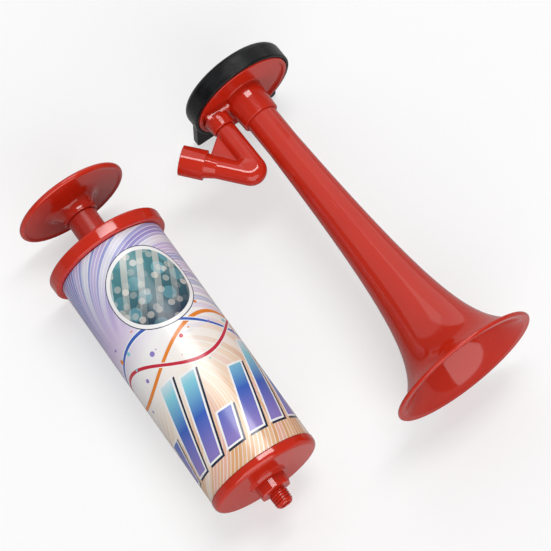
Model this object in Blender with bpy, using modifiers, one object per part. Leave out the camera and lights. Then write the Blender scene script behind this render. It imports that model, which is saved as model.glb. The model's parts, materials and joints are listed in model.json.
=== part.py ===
"""Hand pump air horn: a push pump and the diaphragm horn that screws onto it, lying side by side.

The pump and the horn are each modelled standing on their own axis (Z along the axis, towards the
hand end) and then laid down by the empty that carries them. Units are metres.
"""

from math import asin, atan, cos, degrees, pi, radians, sin, sqrt

import bmesh
import bpy
from mathutils import Matrix, Vector

MM = 0.001

# Clearances
FIT_GAP = 0.3 * MM
FLOOR_CLEARANCE = 0.8 * MM
STOP_CLEARANCE = 0.5 * MM

# Facets round a full turn
FINE_STEPS = 48
MEDIUM_STEPS = 32
SMALL_STEPS = 24

# Barrel, heights from the lower edge of the label
BARREL_RADIUS = 24.45 * MM
BARREL_WALL = 1.85 * MM
BASE_BAND_STEP = 0.75 * MM
BASE_BAND_HEIGHT = 2.1 * MM
BASE_CORNER_RADIUS = 2.4 * MM
BASE_WALL = 2.0 * MM
BASE_DISHING = 0.3 * MM
OUTLET_BOSS_FOOT_RADIUS = 9.4 * MM
OUTLET_BOSS_TOP_RADIUS = 8.6 * MM
OUTLET_BOSS_HEIGHT = 1.3 * MM
HEX_ACROSS_FLATS = 14.0 * MM
HEX_HEIGHT = 4.8 * MM
HEX_TURN = radians(-7.5)
SPIGOT_RADIUS = 4.5 * MM
SPIGOT_TAPER = 0.6 * MM
SPIGOT_LENGTH = 7.1 * MM
SPIGOT_CHAMFER = 1.0 * MM
OUTLET_BORE_RADIUS = 2.2 * MM

# Printed label
LABEL_THICKNESS = 0.25 * MM
LABEL_LENGTH = 113.0 * MM

# Top cap
CAP_FLANGE = 3.45 * MM
CAP_HEIGHT = 6.1 * MM
CAP_PLATE = 2.6 * MM
CAP_EDGE_RADIUS = 0.9 * MM
GUIDE_WALL = 2.6 * MM
GUIDE_LENGTH = 7.5 * MM

# Plunger: rod and handle
ROD_RADIUS = 6.8 * MM
ROD_WALL = 2.2 * MM
ROD_SHOWN = 17.3 * MM
HANDLE_RADIUS = 26.0 * MM
HANDLE_RIM_THICKNESS = 2.6 * MM
HANDLE_RECESS = 0.45 * MM
HANDLE_DEPTH = 8.3 * MM
HANDLE_DOME = 2.4 * MM
HUB_RADIUS = 8.1 * MM
HUB_FILLET = 4.6 * MM
HUB_EDGE = 0.5 * MM
HUB_SOCKET_DEPTH = 9.2 * MM

# Piston, with a loose ring in its groove that seals on the push and lets air by on the pull
PISTON_CLEARANCE = 0.5 * MM
PISTON_FLANGE = 2.5 * MM
GROOVE_DEPTH = 4.6 * MM
RING_HEIGHT = 3.6 * MM
RING_FLOAT = 1.2 * MM
RING_EDGE = 0.7 * MM
PISTON_STEM = 12.0 * MM
NOTCH_COUNT = 6
NOTCH_WIDTH = 4.0 * MM
NOTCH_UNDERCUT = 0.9 * MM
SCREW_HEAD_RADIUS = 3.2 * MM
SCREW_HEAD_HEIGHT = 2.0 * MM
SCREW_SHANK_RADIUS = 1.4 * MM
SCREW_LENGTH = 10.0 * MM
WASHER_RADIUS = 5.5 * MM
WASHER_THICKNESS = 0.8 * MM

# Horn bell, heights from the rim back towards the membrane
BELL_RADIUS = 34.5 * MM
BELL_WALL = 1.3 * MM
BELL_LIP_RADIUS = 0.9 * MM
FLARE_LENGTH = 9.65 * MM
FLARE_POWER = 0.585
FLARE_RINGS = 11
NECK_RADIUS = 7.3 * MM
NECK_SHOULDER_HEIGHT = 123.0 * MM
NECK_SHOULDER_LENGTH = 4.0 * MM

# Horn head, a shallow cup closed by the membrane
HEAD_FRONT_HEIGHT = 157.2 * MM
HEAD_RADIUS = 23.3 * MM
HEAD_WALL = 2.0 * MM
HEAD_RIM_WIDTH = 1.7 * MM
HEAD_RIM_RISE = 1.0 * MM
HEAD_PLATE = 2.0 * MM
CHAMBER_DEPTH = 3.6 * MM
COLLAR_LENGTH = 14.2 * MM
COLLAR_FOOT_RADIUS = 9.2 * MM
COLLAR_END_RADIUS = 8.6 * MM
COLLAR_EDGE = 0.5 * MM
MEMBRANE_THICKNESS = 0.25 * MM
MEMBRANE_RING_THICKNESS = 0.8 * MM
MEMBRANE_RING_WIDTH = 4.8 * MM

# Inlet block and boss on the head, and the V-shaped elbow that feeds them
INLET_OFFSET = 15.9 * MM
INLET_BORE_RADIUS = 2.6 * MM
BLOCK_OUTER = 21.0 * MM
BLOCK_HALF_WIDTH = 5.8 * MM
BLOCK_RISE = 3.7 * MM
BLOCK_EDGE = 0.8 * MM
BOSS_WALL = 1.3 * MM
BOSS_DRAFT = 0.4 * MM
BOSS_LENGTH = 5.2 * MM
PLUG_RADIUS = 3.7 * MM
PLUG_LENGTH = 4.0 * MM
LEG_RADIUS = 4.65 * MM
LEG_LENGTH = 22.44 * MM
BEND_RADIUS = 2.45 * MM
RETURN_ANGLE = radians(40.05)
RETURN_LENGTH = 30.35 * MM
SOCKET_LENGTH = 11.0 * MM
SOCKET_WALL = 1.85 * MM
SOCKET_CLEARANCE = 0.3 * MM
WEB_THICKNESS = 1.6 * MM
WEB_SETBACK = 0.8 * MM
KNEE_SWELL = 0.15 * MM

# Black end cap with the flat foot that keeps the horn level
END_CAP_WALL = 1.4 * MM
END_CAP_BACK = 1.65 * MM
END_CAP_BACK_EDGE = 3.0 * MM
END_CAP_FRONT_EDGE = 0.6 * MM
FOOT_HALF_WIDTH = 21.5 * MM
FOOT_THICKNESS = 3.0 * MM
FOOT_SETBACK = 1.6 * MM
FOOT_CORNER = 2.0 * MM

# How the two pieces lie
PUMP_APART = 93.0 * MM
PUMP_BACK = 17.2 * MM
PUMP_YAW = radians(-1.99)

# Heights and radii that follow from the sizes above
BORE_RADIUS = BARREL_RADIUS - BARREL_WALL
BASE_BAND_RADIUS = BARREL_RADIUS + BASE_BAND_STEP
LABEL_RADIUS = BARREL_RADIUS + FIT_GAP + LABEL_THICKNESS
CAP_RADIUS = BARREL_RADIUS + CAP_FLANGE
BASE_FACE = -(BASE_BAND_HEIGHT + BASE_CORNER_RADIUS)
BARREL_FLOOR = BASE_FACE + BASE_WALL
SPIGOT_TIP_RADIUS = SPIGOT_RADIUS - SPIGOT_TAPER
CAP_FOOT = LABEL_LENGTH + FIT_GAP
CAP_TOP = CAP_FOOT + CAP_HEIGHT
CAP_PLATE_UNDERSIDE = CAP_TOP - CAP_PLATE
BARREL_TOP = CAP_PLATE_UNDERSIDE - FIT_GAP
GUIDE_END = CAP_PLATE_UNDERSIDE - GUIDE_LENGTH
ROD_HOLE_RADIUS = ROD_RADIUS + FIT_GAP
HUB_END = CAP_TOP + ROD_SHOWN
HANDLE_RIM = HUB_END + HANDLE_DEPTH
ROD_TOP = HUB_END + HUB_SOCKET_DEPTH - FIT_GAP
PUSH_TRAVEL = ROD_SHOWN - FIT_GAP
SCREW_HEAD_END = BARREL_FLOOR + FLOOR_CLEARANCE + PUSH_TRAVEL
WASHER_FOOT = SCREW_HEAD_END + SCREW_HEAD_HEIGHT + FIT_GAP
PISTON_FOOT = WASHER_FOOT + WASHER_THICKNESS + FIT_GAP
PISTON_RADIUS = BORE_RADIUS - PISTON_CLEARANCE
PISTON_CORE_RADIUS = PISTON_RADIUS - GROOVE_DEPTH
NOTCH_INNER_RADIUS = PISTON_CORE_RADIUS - NOTCH_UNDERCUT
GROOVE_HEIGHT = RING_HEIGHT + RING_FLOAT + 2.0 * FIT_GAP
GROOVE_FOOT = PISTON_FOOT + PISTON_FLANGE
GROOVE_TOP = GROOVE_FOOT + GROOVE_HEIGHT
PISTON_TOP = GROOVE_TOP + PISTON_FLANGE
ROD_FOOT = PISTON_TOP + FIT_GAP
PULL_TRAVEL = GUIDE_END - PISTON_TOP - STOP_CLEARANCE

HEAD_FACE = HEAD_FRONT_HEIGHT + 0.5 * HEAD_RIM_RISE
HEAD_RIM_FRONT = HEAD_FACE - HEAD_RIM_RISE
CHAMBER_FLOOR = HEAD_FACE + HEAD_PLATE
HEAD_BACK = CHAMBER_FLOOR + CHAMBER_DEPTH
COLLAR_END = HEAD_FACE - COLLAR_LENGTH
MEMBRANE_FOOT = HEAD_BACK + FIT_GAP
MEMBRANE_RING_FOOT = MEMBRANE_FOOT + MEMBRANE_THICKNESS + FIT_GAP
END_CAP_FLOOR = MEMBRANE_RING_FOOT + MEMBRANE_RING_THICKNESS + FIT_GAP
END_CAP_TOP = END_CAP_FLOOR + END_CAP_BACK
END_CAP_BORE = HEAD_RADIUS + FIT_GAP
END_CAP_RADIUS = END_CAP_BORE + END_CAP_WALL
BLOCK_FACE = HEAD_FACE - BLOCK_RISE
BOSS_END = BLOCK_FACE - BOSS_LENGTH
PLUG_SEAT_RADIUS = PLUG_RADIUS + FIT_GAP
BOSS_END_RADIUS = PLUG_SEAT_RADIUS + BOSS_WALL
BEND_HEIGHT = BOSS_END - LEG_LENGTH
SOCKET_BORE_RADIUS = SPIGOT_RADIUS + SOCKET_CLEARANCE
SOCKET_RADIUS = SOCKET_BORE_RADIUS + SOCKET_WALL


def clear_scene():
    for old in list(bpy.data.objects):
        bpy.data.objects.remove(old)


def collection(name):
    made = bpy.data.collections.new(name)
    bpy.context.scene.collection.children.link(made)
    return made


def plastic(name, red, green, blue, roughness, metallic=0.0):
    """A Principled material in linear colour."""
    made = bpy.data.materials.new(name)
    made.use_nodes = True
    shader = made.node_tree.nodes["Principled BSDF"]
    shader.inputs["Base Color"].default_value = (red, green, blue, 1.0)
    shader.inputs["Roughness"].default_value = roughness
    shader.inputs["Metallic"].default_value = metallic
    return made


def arc(centre, radius, start, end, steps):
    """Points (radius, height) on a round, from one angle to another in degrees."""
    across, height = centre
    turns = [radians(start + (end - start) * i / steps) for i in range(steps + 1)]
    return [(across + radius * cos(turn), height + radius * sin(turn)) for turn in turns]


def solid(name, mesh, parent, home):
    made = bpy.data.objects.new(name, mesh)
    made.parent = parent
    home.objects.link(made)
    return made


def turned(name, profile, parent, home, steps, closed=True):
    """A profile at +X, running down its outer side, turned about the local Z axis."""
    mesh = bpy.data.meshes.new(name)
    points = [(across, 0.0, height) for across, height in profile]
    edges = [(i, i + 1) for i in range(len(points) - 1)]
    if closed:
        edges.append((len(points) - 1, 0))
    mesh.from_pydata(points, edges, [])
    made = solid(name, mesh, parent, home)
    screw = made.modifiers.new("turn", "SCREW")
    screw.axis = "Z"
    screw.angle = 2.0 * pi
    screw.steps = steps
    screw.render_steps = steps
    screw.use_merge_vertices = True
    screw.merge_threshold = 0.00001
    return made


def rod_between(name, start, end, radius, parent, home, steps, end_radius=None):
    """A closed cylinder from one point to another, or a cone where its end has another radius."""
    start = Vector(start)
    run = Vector(end) - start
    mesh = bpy.data.meshes.new(name)
    shape = bmesh.new()
    if end_radius is None:
        end_radius = radius
    bmesh.ops.create_cone(
        shape, cap_ends=True, segments=steps, radius1=radius, radius2=end_radius, depth=run.length
    )
    turn = run.to_track_quat("Z", "Y").to_matrix().to_4x4()
    bmesh.ops.transform(shape, matrix=Matrix.Translation(start + 0.5 * run) @ turn, verts=shape.verts)
    shape.to_mesh(mesh)
    shape.free()
    return solid(name, mesh, parent, home)


def box(name, low, high, parent, home):
    mesh = bpy.data.meshes.new(name)
    shape = bmesh.new()
    bmesh.ops.create_cube(shape, size=1.0)
    size = Vector(high) - Vector(low)
    middle = 0.5 * (Vector(high) + Vector(low))
    bmesh.ops.transform(
        shape, matrix=Matrix.Translation(middle) @ Matrix.Diagonal(size.to_4d()), verts=shape.verts
    )
    shape.to_mesh(mesh)
    shape.free()
    return solid(name, mesh, parent, home)


def round_edges(target, width, along=None, steps=2):
    """Bevel every edge of a block, or only those along one axis."""
    mesh = target.data
    shape = bmesh.new()
    shape.from_mesh(mesh)
    edges = list(shape.edges)
    if along is not None:
        axis = Vector(along)
        edges = [e for e in edges if abs((e.verts[1].co - e.verts[0].co).normalized().dot(axis)) > 0.99]
    bmesh.ops.bevel(shape, geom=edges, offset=width, segments=steps, profile=0.5, affect="EDGES")
    shape.to_mesh(mesh)
    shape.free()


def plate(name, outline, thickness, parent, home):
    """A flat outline in the local XZ plane, with its thickness along Y."""
    curve = bpy.data.curves.new(name, "CURVE")
    curve.dimensions = "2D"
    curve.fill_mode = "BOTH"
    curve.extrude = 0.5 * thickness
    spline = curve.splines.new("POLY")
    spline.points.add(len(outline) - 1)
    for point, (across, height) in zip(spline.points, outline):
        point.co = (across, height, 0.0, 1.0)
    spline.use_cyclic_u = True
    drawn = bpy.data.objects.new(name + "_outline", curve)
    home.objects.link(drawn)
    evaluated = drawn.evaluated_get(bpy.context.evaluated_depsgraph_get())
    mesh = bpy.data.meshes.new_from_object(evaluated)
    bpy.data.objects.remove(drawn)
    shape = bmesh.new()
    shape.from_mesh(mesh)
    bmesh.ops.remove_doubles(shape, verts=shape.verts, dist=0.00001)
    bmesh.ops.rotate(shape, verts=shape.verts, matrix=Matrix.Rotation(0.5 * pi, 3, "X"))
    bmesh.ops.recalc_face_normals(shape, faces=shape.faces)
    shape.to_mesh(mesh)
    shape.free()
    return solid(name, mesh, parent, home)


def combine(target, tool, operation, solver="EXACT"):
    """Join or cut a piece with a tool, which stays as a hidden wire."""
    change = target.modifiers.new(tool.name, "BOOLEAN")
    change.operation = operation
    change.solver = solver
    change.object = tool
    tool.hide_render = True
    tool.display_type = "WIRE"


def finish(piece, material):
    """Turn the modifiers into the piece's own mesh, shaded smooth but for its edges."""
    evaluated = piece.evaluated_get(bpy.context.evaluated_depsgraph_get())
    mesh = bpy.data.meshes.new_from_object(evaluated)
    mesh.name = piece.name
    piece.modifiers.clear()
    piece.data = mesh
    mesh.materials.clear()
    mesh.materials.append(material)
    mesh.shade_smooth()
    mesh.set_sharp_from_angle(angle=radians(32.0))


def pump_barrel(parent, parts, cutters):
    """One moulding: tube, rounded base, boss, hexagon and threaded outlet."""
    corner = (BASE_BAND_RADIUS - BASE_CORNER_RADIUS, -BASE_BAND_HEIGHT)
    boss_foot = BASE_FACE - BASE_DISHING
    boss_top = boss_foot - OUTLET_BOSS_HEIGHT
    hex_top = boss_top - HEX_HEIGHT
    tip = hex_top - SPIGOT_LENGTH
    profile = [
        (0.0, BARREL_FLOOR),
        (BORE_RADIUS - BASE_WALL, BARREL_FLOOR),
        (BORE_RADIUS, BARREL_FLOOR + BASE_WALL),
        (BORE_RADIUS, BARREL_TOP),
        (BARREL_RADIUS, BARREL_TOP),
        (BARREL_RADIUS, -FIT_GAP),
        (BASE_BAND_RADIUS, -FIT_GAP),
    ]
    profile += arc(corner, BASE_CORNER_RADIUS, 0.0, -90.0, 5)
    profile += [
        (OUTLET_BOSS_FOOT_RADIUS, boss_foot),
        (OUTLET_BOSS_TOP_RADIUS, boss_top),
        (SPIGOT_RADIUS, boss_top),
        (SPIGOT_TIP_RADIUS, tip + SPIGOT_CHAMFER),
        (SPIGOT_TIP_RADIUS - SPIGOT_CHAMFER, tip),
        (0.0, tip),
    ]
    barrel = turned("pump_barrel", profile, parent, parts, FINE_STEPS, closed=False)
    sunk = 0.5 * OUTLET_BOSS_HEIGHT
    hexagon = rod_between(
        "outlet_hexagon", (0.0, 0.0, boss_top + sunk), (0.0, 0.0, hex_top),
        HEX_ACROSS_FLATS / sqrt(3.0), parent, cutters, 6,
    )
    hexagon.data.transform(Matrix.Rotation(HEX_TURN, 4, "Z"))
    bore = rod_between(
        "outlet_bore", (0.0, 0.0, BARREL_FLOOR + BASE_WALL), (0.0, 0.0, tip - SPIGOT_CHAMFER),
        OUTLET_BORE_RADIUS, parent, cutters, SMALL_STEPS,
    )
    combine(barrel, hexagon, "UNION")
    combine(barrel, bore, "DIFFERENCE")
    return barrel


def barrel_label(parent, parts):
    """The printed sleeve in the barrel's shallow seat."""
    inner = BARREL_RADIUS + FIT_GAP
    profile = [(LABEL_RADIUS, LABEL_LENGTH), (LABEL_RADIUS, 0.0), (inner, 0.0), (inner, LABEL_LENGTH)]
    return turned("barrel_label", profile, parent, parts, FINE_STEPS)


def top_cap(parent, parts):
    """Flanged cap over the barrel's mouth, with the sleeve that guides the rod."""
    skirt = BARREL_RADIUS + FIT_GAP
    guide = ROD_HOLE_RADIUS + GUIDE_WALL
    edge = CAP_EDGE_RADIUS
    profile = arc((CAP_RADIUS - edge, CAP_TOP - edge), edge, 90.0, 0.0, 2)
    profile += arc((CAP_RADIUS - edge, CAP_FOOT + edge), edge, 0.0, -90.0, 2)
    profile += [
        (skirt, CAP_FOOT),
        (skirt, CAP_PLATE_UNDERSIDE),
        (guide, CAP_PLATE_UNDERSIDE),
        (guide, GUIDE_END),
        (ROD_HOLE_RADIUS, GUIDE_END),
        (ROD_HOLE_RADIUS, CAP_TOP),
    ]
    return turned("top_cap", profile, parent, parts, FINE_STEPS)


def pump_rod(parent, parts):
    inner = ROD_RADIUS - ROD_WALL
    profile = [(ROD_RADIUS, ROD_TOP), (ROD_RADIUS, ROD_FOOT), (inner, ROD_FOOT), (inner, ROD_TOP)]
    return turned("pump_rod", profile, parent, parts, MEDIUM_STEPS)


def push_handle(parent, parts):
    """Mushroom handle: domed palm rest, beaded rim, flat underside with a fillet down to the hub."""
    half_rim = 0.5 * HANDLE_RIM_THICKNESS
    rim_centre = HANDLE_RADIUS - half_rim
    underside = HANDLE_RIM - half_rim + HANDLE_RECESS
    bead_end = degrees(asin((HANDLE_RIM - underside) / half_rim)) - 180.0
    fillet_centre = (HUB_RADIUS + HUB_FILLET, underside - HUB_FILLET)
    socket = ROD_HOLE_RADIUS
    profile = [(0.0, HANDLE_RIM + half_rim + HANDLE_DOME)]
    for share in (0.35, 0.7):
        profile.append((rim_centre * share, HANDLE_RIM + half_rim + HANDLE_DOME * (1.0 - share * share)))
    profile += arc((rim_centre, HANDLE_RIM), half_rim, 90.0, bead_end, 6)
    profile += arc(fillet_centre, HUB_FILLET, 90.0, 180.0, 4)
    profile += [
        (HUB_RADIUS, HUB_END + HUB_EDGE),
        (HUB_RADIUS - HUB_EDGE, HUB_END),
        (socket, HUB_END),
        (socket, HUB_END + HUB_SOCKET_DEPTH),
        (0.0, HUB_END + HUB_SOCKET_DEPTH),
    ]
    return turned("push_handle", profile, parent, parts, FINE_STEPS, closed=False)


def piston_head(parent, parts, cutters):
    """Two flanges on a core, with air notches through the front one and a stem up the rod."""
    stem = ROD_RADIUS - ROD_WALL - FIT_GAP
    pilot = SCREW_SHANK_RADIUS + FIT_GAP
    pilot_end = PISTON_FOOT + SCREW_LENGTH + FIT_GAP
    profile = [
        (0.0, PISTON_TOP + PISTON_STEM),
        (stem, PISTON_TOP + PISTON_STEM),
        (stem, PISTON_TOP),
        (PISTON_RADIUS, PISTON_TOP),
        (PISTON_RADIUS, GROOVE_TOP),
        (PISTON_CORE_RADIUS, GROOVE_TOP),
        (PISTON_CORE_RADIUS, GROOVE_FOOT),
        (PISTON_RADIUS, GROOVE_FOOT),
        (PISTON_RADIUS, PISTON_FOOT),
        (pilot, PISTON_FOOT),
        (pilot, pilot_end),
        (0.0, pilot_end),
    ]
    piston = turned("piston_head", profile, parent, parts, MEDIUM_STEPS, closed=False)
    for number in range(NOTCH_COUNT):
        low = (NOTCH_INNER_RADIUS, -0.5 * NOTCH_WIDTH, PISTON_FOOT - FIT_GAP)
        high = (BORE_RADIUS, 0.5 * NOTCH_WIDTH, GROOVE_FOOT + FIT_GAP)
        notch = box(f"air_notch_{number + 1}", low, high, parent, cutters)
        notch.rotation_euler.z = 2.0 * pi * number / NOTCH_COUNT
        combine(piston, notch, "DIFFERENCE")
    return piston


def piston_ring(parent, parts):
    """Loose rubber ring, drawn up against the rear flange as the last push left it."""
    outer = BORE_RADIUS - FIT_GAP
    inner = PISTON_CORE_RADIUS + FIT_GAP
    top = GROOVE_TOP - FIT_GAP
    foot = top - RING_HEIGHT
    edge = RING_EDGE
    profile = [
        (outer - edge, top),
        (outer, top - edge),
        (outer, foot + edge),
        (outer - edge, foot),
        (inner, foot),
        (inner, top),
    ]
    return turned("piston_ring", profile, parent, parts, MEDIUM_STEPS)


def piston_washer(parent, parts):
    inner = SCREW_SHANK_RADIUS + FIT_GAP
    top = WASHER_FOOT + WASHER_THICKNESS
    profile = [(WASHER_RADIUS, top), (WASHER_RADIUS, WASHER_FOOT), (inner, WASHER_FOOT), (inner, top)]
    return turned("piston_washer", profile, parent, parts, SMALL_STEPS)


def piston_screw(parent, parts):
    """Pan-head screw that holds the piston to the rod."""
    head_top = SCREW_HEAD_END + SCREW_HEAD_HEIGHT
    edge = 0.35 * SCREW_HEAD_HEIGHT
    profile = [
        (0.0, PISTON_FOOT + SCREW_LENGTH),
        (0.4 * SCREW_SHANK_RADIUS, PISTON_FOOT + SCREW_LENGTH),
        (SCREW_SHANK_RADIUS, PISTON_FOOT + SCREW_LENGTH - SCREW_SHANK_RADIUS),
        (SCREW_SHANK_RADIUS, head_top),
        (SCREW_HEAD_RADIUS, head_top),
        (SCREW_HEAD_RADIUS, SCREW_HEAD_END + edge),
        (SCREW_HEAD_RADIUS - edge, SCREW_HEAD_END),
        (0.0, SCREW_HEAD_END),
    ]
    return turned("piston_screw", profile, parent, parts, SMALL_STEPS, closed=False)


def flare_radius(depth):
    """Outer radius of the bell at a depth behind its rim: a horn flare that opens ever faster."""
    return BELL_RADIUS * (FLARE_LENGTH / (FLARE_LENGTH + depth)) ** FLARE_POWER


def flare_slope(depth):
    return flare_radius(depth) * FLARE_POWER / (FLARE_LENGTH + depth)


def horn_bell(parent, parts):
    """Flared bell with a rolled lip, whose straight neck runs through the head to the membrane."""
    lip = BELL_LIP_RADIUS
    depths = []
    for ring in range(FLARE_RINGS + 1):
        share = 1.0 - ring / FLARE_RINGS
        depths.append(1.6 * lip + (NECK_SHOULDER_HEIGHT - 1.6 * lip) * share ** 1.8)
    outer = [(flare_radius(depth), depth) for depth in depths]
    inner = []
    for depth in reversed(depths):
        slope = flare_slope(depth)
        length = sqrt(1.0 + slope * slope)
        inner.append((flare_radius(depth) - BELL_WALL / length, depth - BELL_WALL * slope / length))
    shoulder = NECK_SHOULDER_HEIGHT + NECK_SHOULDER_LENGTH
    profile = [(NECK_RADIUS, HEAD_BACK), (NECK_RADIUS, shoulder)]
    profile += outer
    profile += arc((BELL_RADIUS - lip, lip), lip, 75.0, -90.0, 5)
    profile += [point for point in inner if point[1] > 0.0]
    profile += [(NECK_RADIUS - BELL_WALL, shoulder), (NECK_RADIUS - BELL_WALL, HEAD_BACK)]
    return turned("horn_bell", profile, parent, parts, FINE_STEPS)


def horn_head(parent, parts, cutters):
    """Cup with a raised front rim, a collar for the bell's neck and a block for the inlet."""
    bore = NECK_RADIUS + FIT_GAP
    rim_inner = HEAD_RADIUS - HEAD_RIM_WIDTH
    profile = [
        (HEAD_RADIUS, HEAD_BACK),
        (HEAD_RADIUS, HEAD_RIM_FRONT + COLLAR_EDGE),
        (HEAD_RADIUS - COLLAR_EDGE, HEAD_RIM_FRONT),
        (rim_inner, HEAD_RIM_FRONT),
        (rim_inner - COLLAR_EDGE, HEAD_FACE),
        (COLLAR_FOOT_RADIUS + COLLAR_EDGE, HEAD_FACE),
        (COLLAR_FOOT_RADIUS, HEAD_FACE - COLLAR_EDGE),
        (COLLAR_END_RADIUS, COLLAR_END + COLLAR_EDGE),
        (COLLAR_END_RADIUS - COLLAR_EDGE, COLLAR_END),
        (bore, COLLAR_END),
        (bore, CHAMBER_FLOOR),
        (HEAD_RADIUS - HEAD_WALL, CHAMBER_FLOOR),
        (HEAD_RADIUS - HEAD_WALL, HEAD_BACK),
    ]
    head = turned("horn_head", profile, parent, parts, FINE_STEPS)
    sunk = HEAD_FACE + 0.5 * HEAD_PLATE
    inner_side = 0.5 * (bore + COLLAR_END_RADIUS)
    block = box(
        "inlet_block", (-BLOCK_OUTER, -BLOCK_HALF_WIDTH, BLOCK_FACE),
        (-inner_side, BLOCK_HALF_WIDTH, sunk), parent, cutters,
    )
    round_edges(block, BLOCK_EDGE)
    boss = rod_between(
        "inlet_boss", (-INLET_OFFSET, 0.0, BLOCK_FACE + BLOCK_EDGE), (-INLET_OFFSET, 0.0, BOSS_END),
        BOSS_END_RADIUS + BOSS_DRAFT, parent, cutters, SMALL_STEPS, BOSS_END_RADIUS,
    )
    seat = rod_between(
        "elbow_seat", (-INLET_OFFSET, 0.0, BOSS_END - FIT_GAP),
        (-INLET_OFFSET, 0.0, BOSS_END + PLUG_LENGTH + FIT_GAP), PLUG_SEAT_RADIUS, parent, cutters,
        SMALL_STEPS,
    )
    port = rod_between(
        "chamber_port", (-INLET_OFFSET, 0.0, BOSS_END), (-INLET_OFFSET, 0.0, HEAD_BACK),
        INLET_BORE_RADIUS, parent, cutters, SMALL_STEPS,
    )
    combine(head, block, "UNION")
    combine(head, boss, "UNION")
    combine(head, seat, "DIFFERENCE")
    combine(head, port, "DIFFERENCE")
    return head


def inlet_elbow(parent, parts, cutters):
    """V-shaped tube: a leg plugged into the boss, a tight bend, a leg back to the socket, a web."""
    bend = Vector((-(INLET_OFFSET + BEND_RADIUS), 0.0, BEND_HEIGHT))
    back = Vector((-sin(RETURN_ANGLE), 0.0, cos(RETURN_ANGLE)))
    outward = Vector((-cos(RETURN_ANGLE), 0.0, -sin(RETURN_ANGLE)))
    along = Vector((0.0, 0.0, 1.0))
    leg_foot = Vector((-INLET_OFFSET, 0.0, BEND_HEIGHT))
    leg_top = leg_foot + (LEG_LENGTH - FIT_GAP) * along
    plug_top = leg_foot + (LEG_LENGTH + PLUG_LENGTH) * along
    return_start = bend + BEND_RADIUS * outward
    mouth = return_start + RETURN_LENGTH * back
    socket_step = mouth - SOCKET_LENGTH * back
    socket_floor = socket_step + SOCKET_WALL * back

    elbow = rod_between(
        "inlet_elbow", leg_foot + 0.5 * BEND_RADIUS * along, leg_top, LEG_RADIUS, parent, parts, SMALL_STEPS
    )
    returning = rod_between(
        "return_leg", return_start + 0.5 * BEND_RADIUS * back, socket_floor, LEG_RADIUS, parent, cutters,
        SMALL_STEPS,
    )
    plug = rod_between(
        "leg_plug", leg_top - WEB_SETBACK * along, plug_top, PLUG_RADIUS, parent, cutters, SMALL_STEPS
    )
    knee_mesh = bpy.data.meshes.new("knee")
    shape = bmesh.new()
    bmesh.ops.create_uvsphere(shape, u_segments=SMALL_STEPS, v_segments=10, radius=1.0)
    thick = LEG_RADIUS + KNEE_SWELL
    wide = thick + BEND_RADIUS
    turn = Matrix.Rotation(0.5 * pi, 4, "X") @ Matrix.Diagonal((wide, wide, thick, 1.0))
    bmesh.ops.transform(shape, matrix=Matrix.Translation(bend) @ turn, verts=shape.verts)
    shape.to_mesh(knee_mesh)
    shape.free()
    knee = solid("knee", knee_mesh, parent, cutters)
    socket = rod_between("socket_sleeve", socket_step, mouth, SOCKET_RADIUS, parent, cutters, SMALL_STEPS)
    web_high = leg_top - WEB_SETBACK * along
    web_low = socket_step - WEB_SETBACK * back
    high_corner = web_high - LEG_RADIUS * Vector((1.0, 0.0, 0.0))
    low_corner = web_low - LEG_RADIUS * outward
    outline = [(point.x, point.z) for point in (bend, web_high, high_corner, low_corner, web_low)]
    web = plate("elbow_web", outline, WEB_THICKNESS, parent, cutters)
    leg_bore = rod_between(
        "leg_bore", leg_foot - 0.5 * BEND_RADIUS * along, plug_top + PLUG_LENGTH * along,
        INLET_BORE_RADIUS, parent, cutters, SMALL_STEPS,
    )
    return_bore = rod_between(
        "return_bore", return_start, socket_floor + 0.5 * SOCKET_WALL * back, INLET_BORE_RADIUS, parent,
        cutters, SMALL_STEPS,
    )
    socket_bore = rod_between(
        "socket_bore", socket_floor, mouth + SOCKET_WALL * back, SOCKET_BORE_RADIUS, parent, cutters,
        SMALL_STEPS,
    )
    for piece in (returning, plug, knee, socket, web):
        combine(elbow, piece, "UNION", "MANIFOLD")
    for piece in (leg_bore, return_bore, socket_bore):
        combine(elbow, piece, "DIFFERENCE", "MANIFOLD")
    return elbow


def membrane(parent, parts):
    """Thin film stretched across the cup and the end of the bell's neck."""
    top = MEMBRANE_FOOT + MEMBRANE_THICKNESS
    profile = [(0.0, top), (HEAD_RADIUS, top), (HEAD_RADIUS, MEMBRANE_FOOT), (0.0, MEMBRANE_FOOT)]
    return turned("membrane", profile, parent, parts, FINE_STEPS, closed=False)


def membrane_ring(parent, parts):
    """Stiff ring that presses the film's edge onto the cup."""
    inner = HEAD_RADIUS - MEMBRANE_RING_WIDTH
    foot = MEMBRANE_RING_FOOT
    top = foot + MEMBRANE_RING_THICKNESS
    profile = [(HEAD_RADIUS, top), (HEAD_RADIUS, foot), (inner, foot), (inner, top)]
    return turned("membrane_ring", profile, parent, parts, FINE_STEPS)


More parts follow.
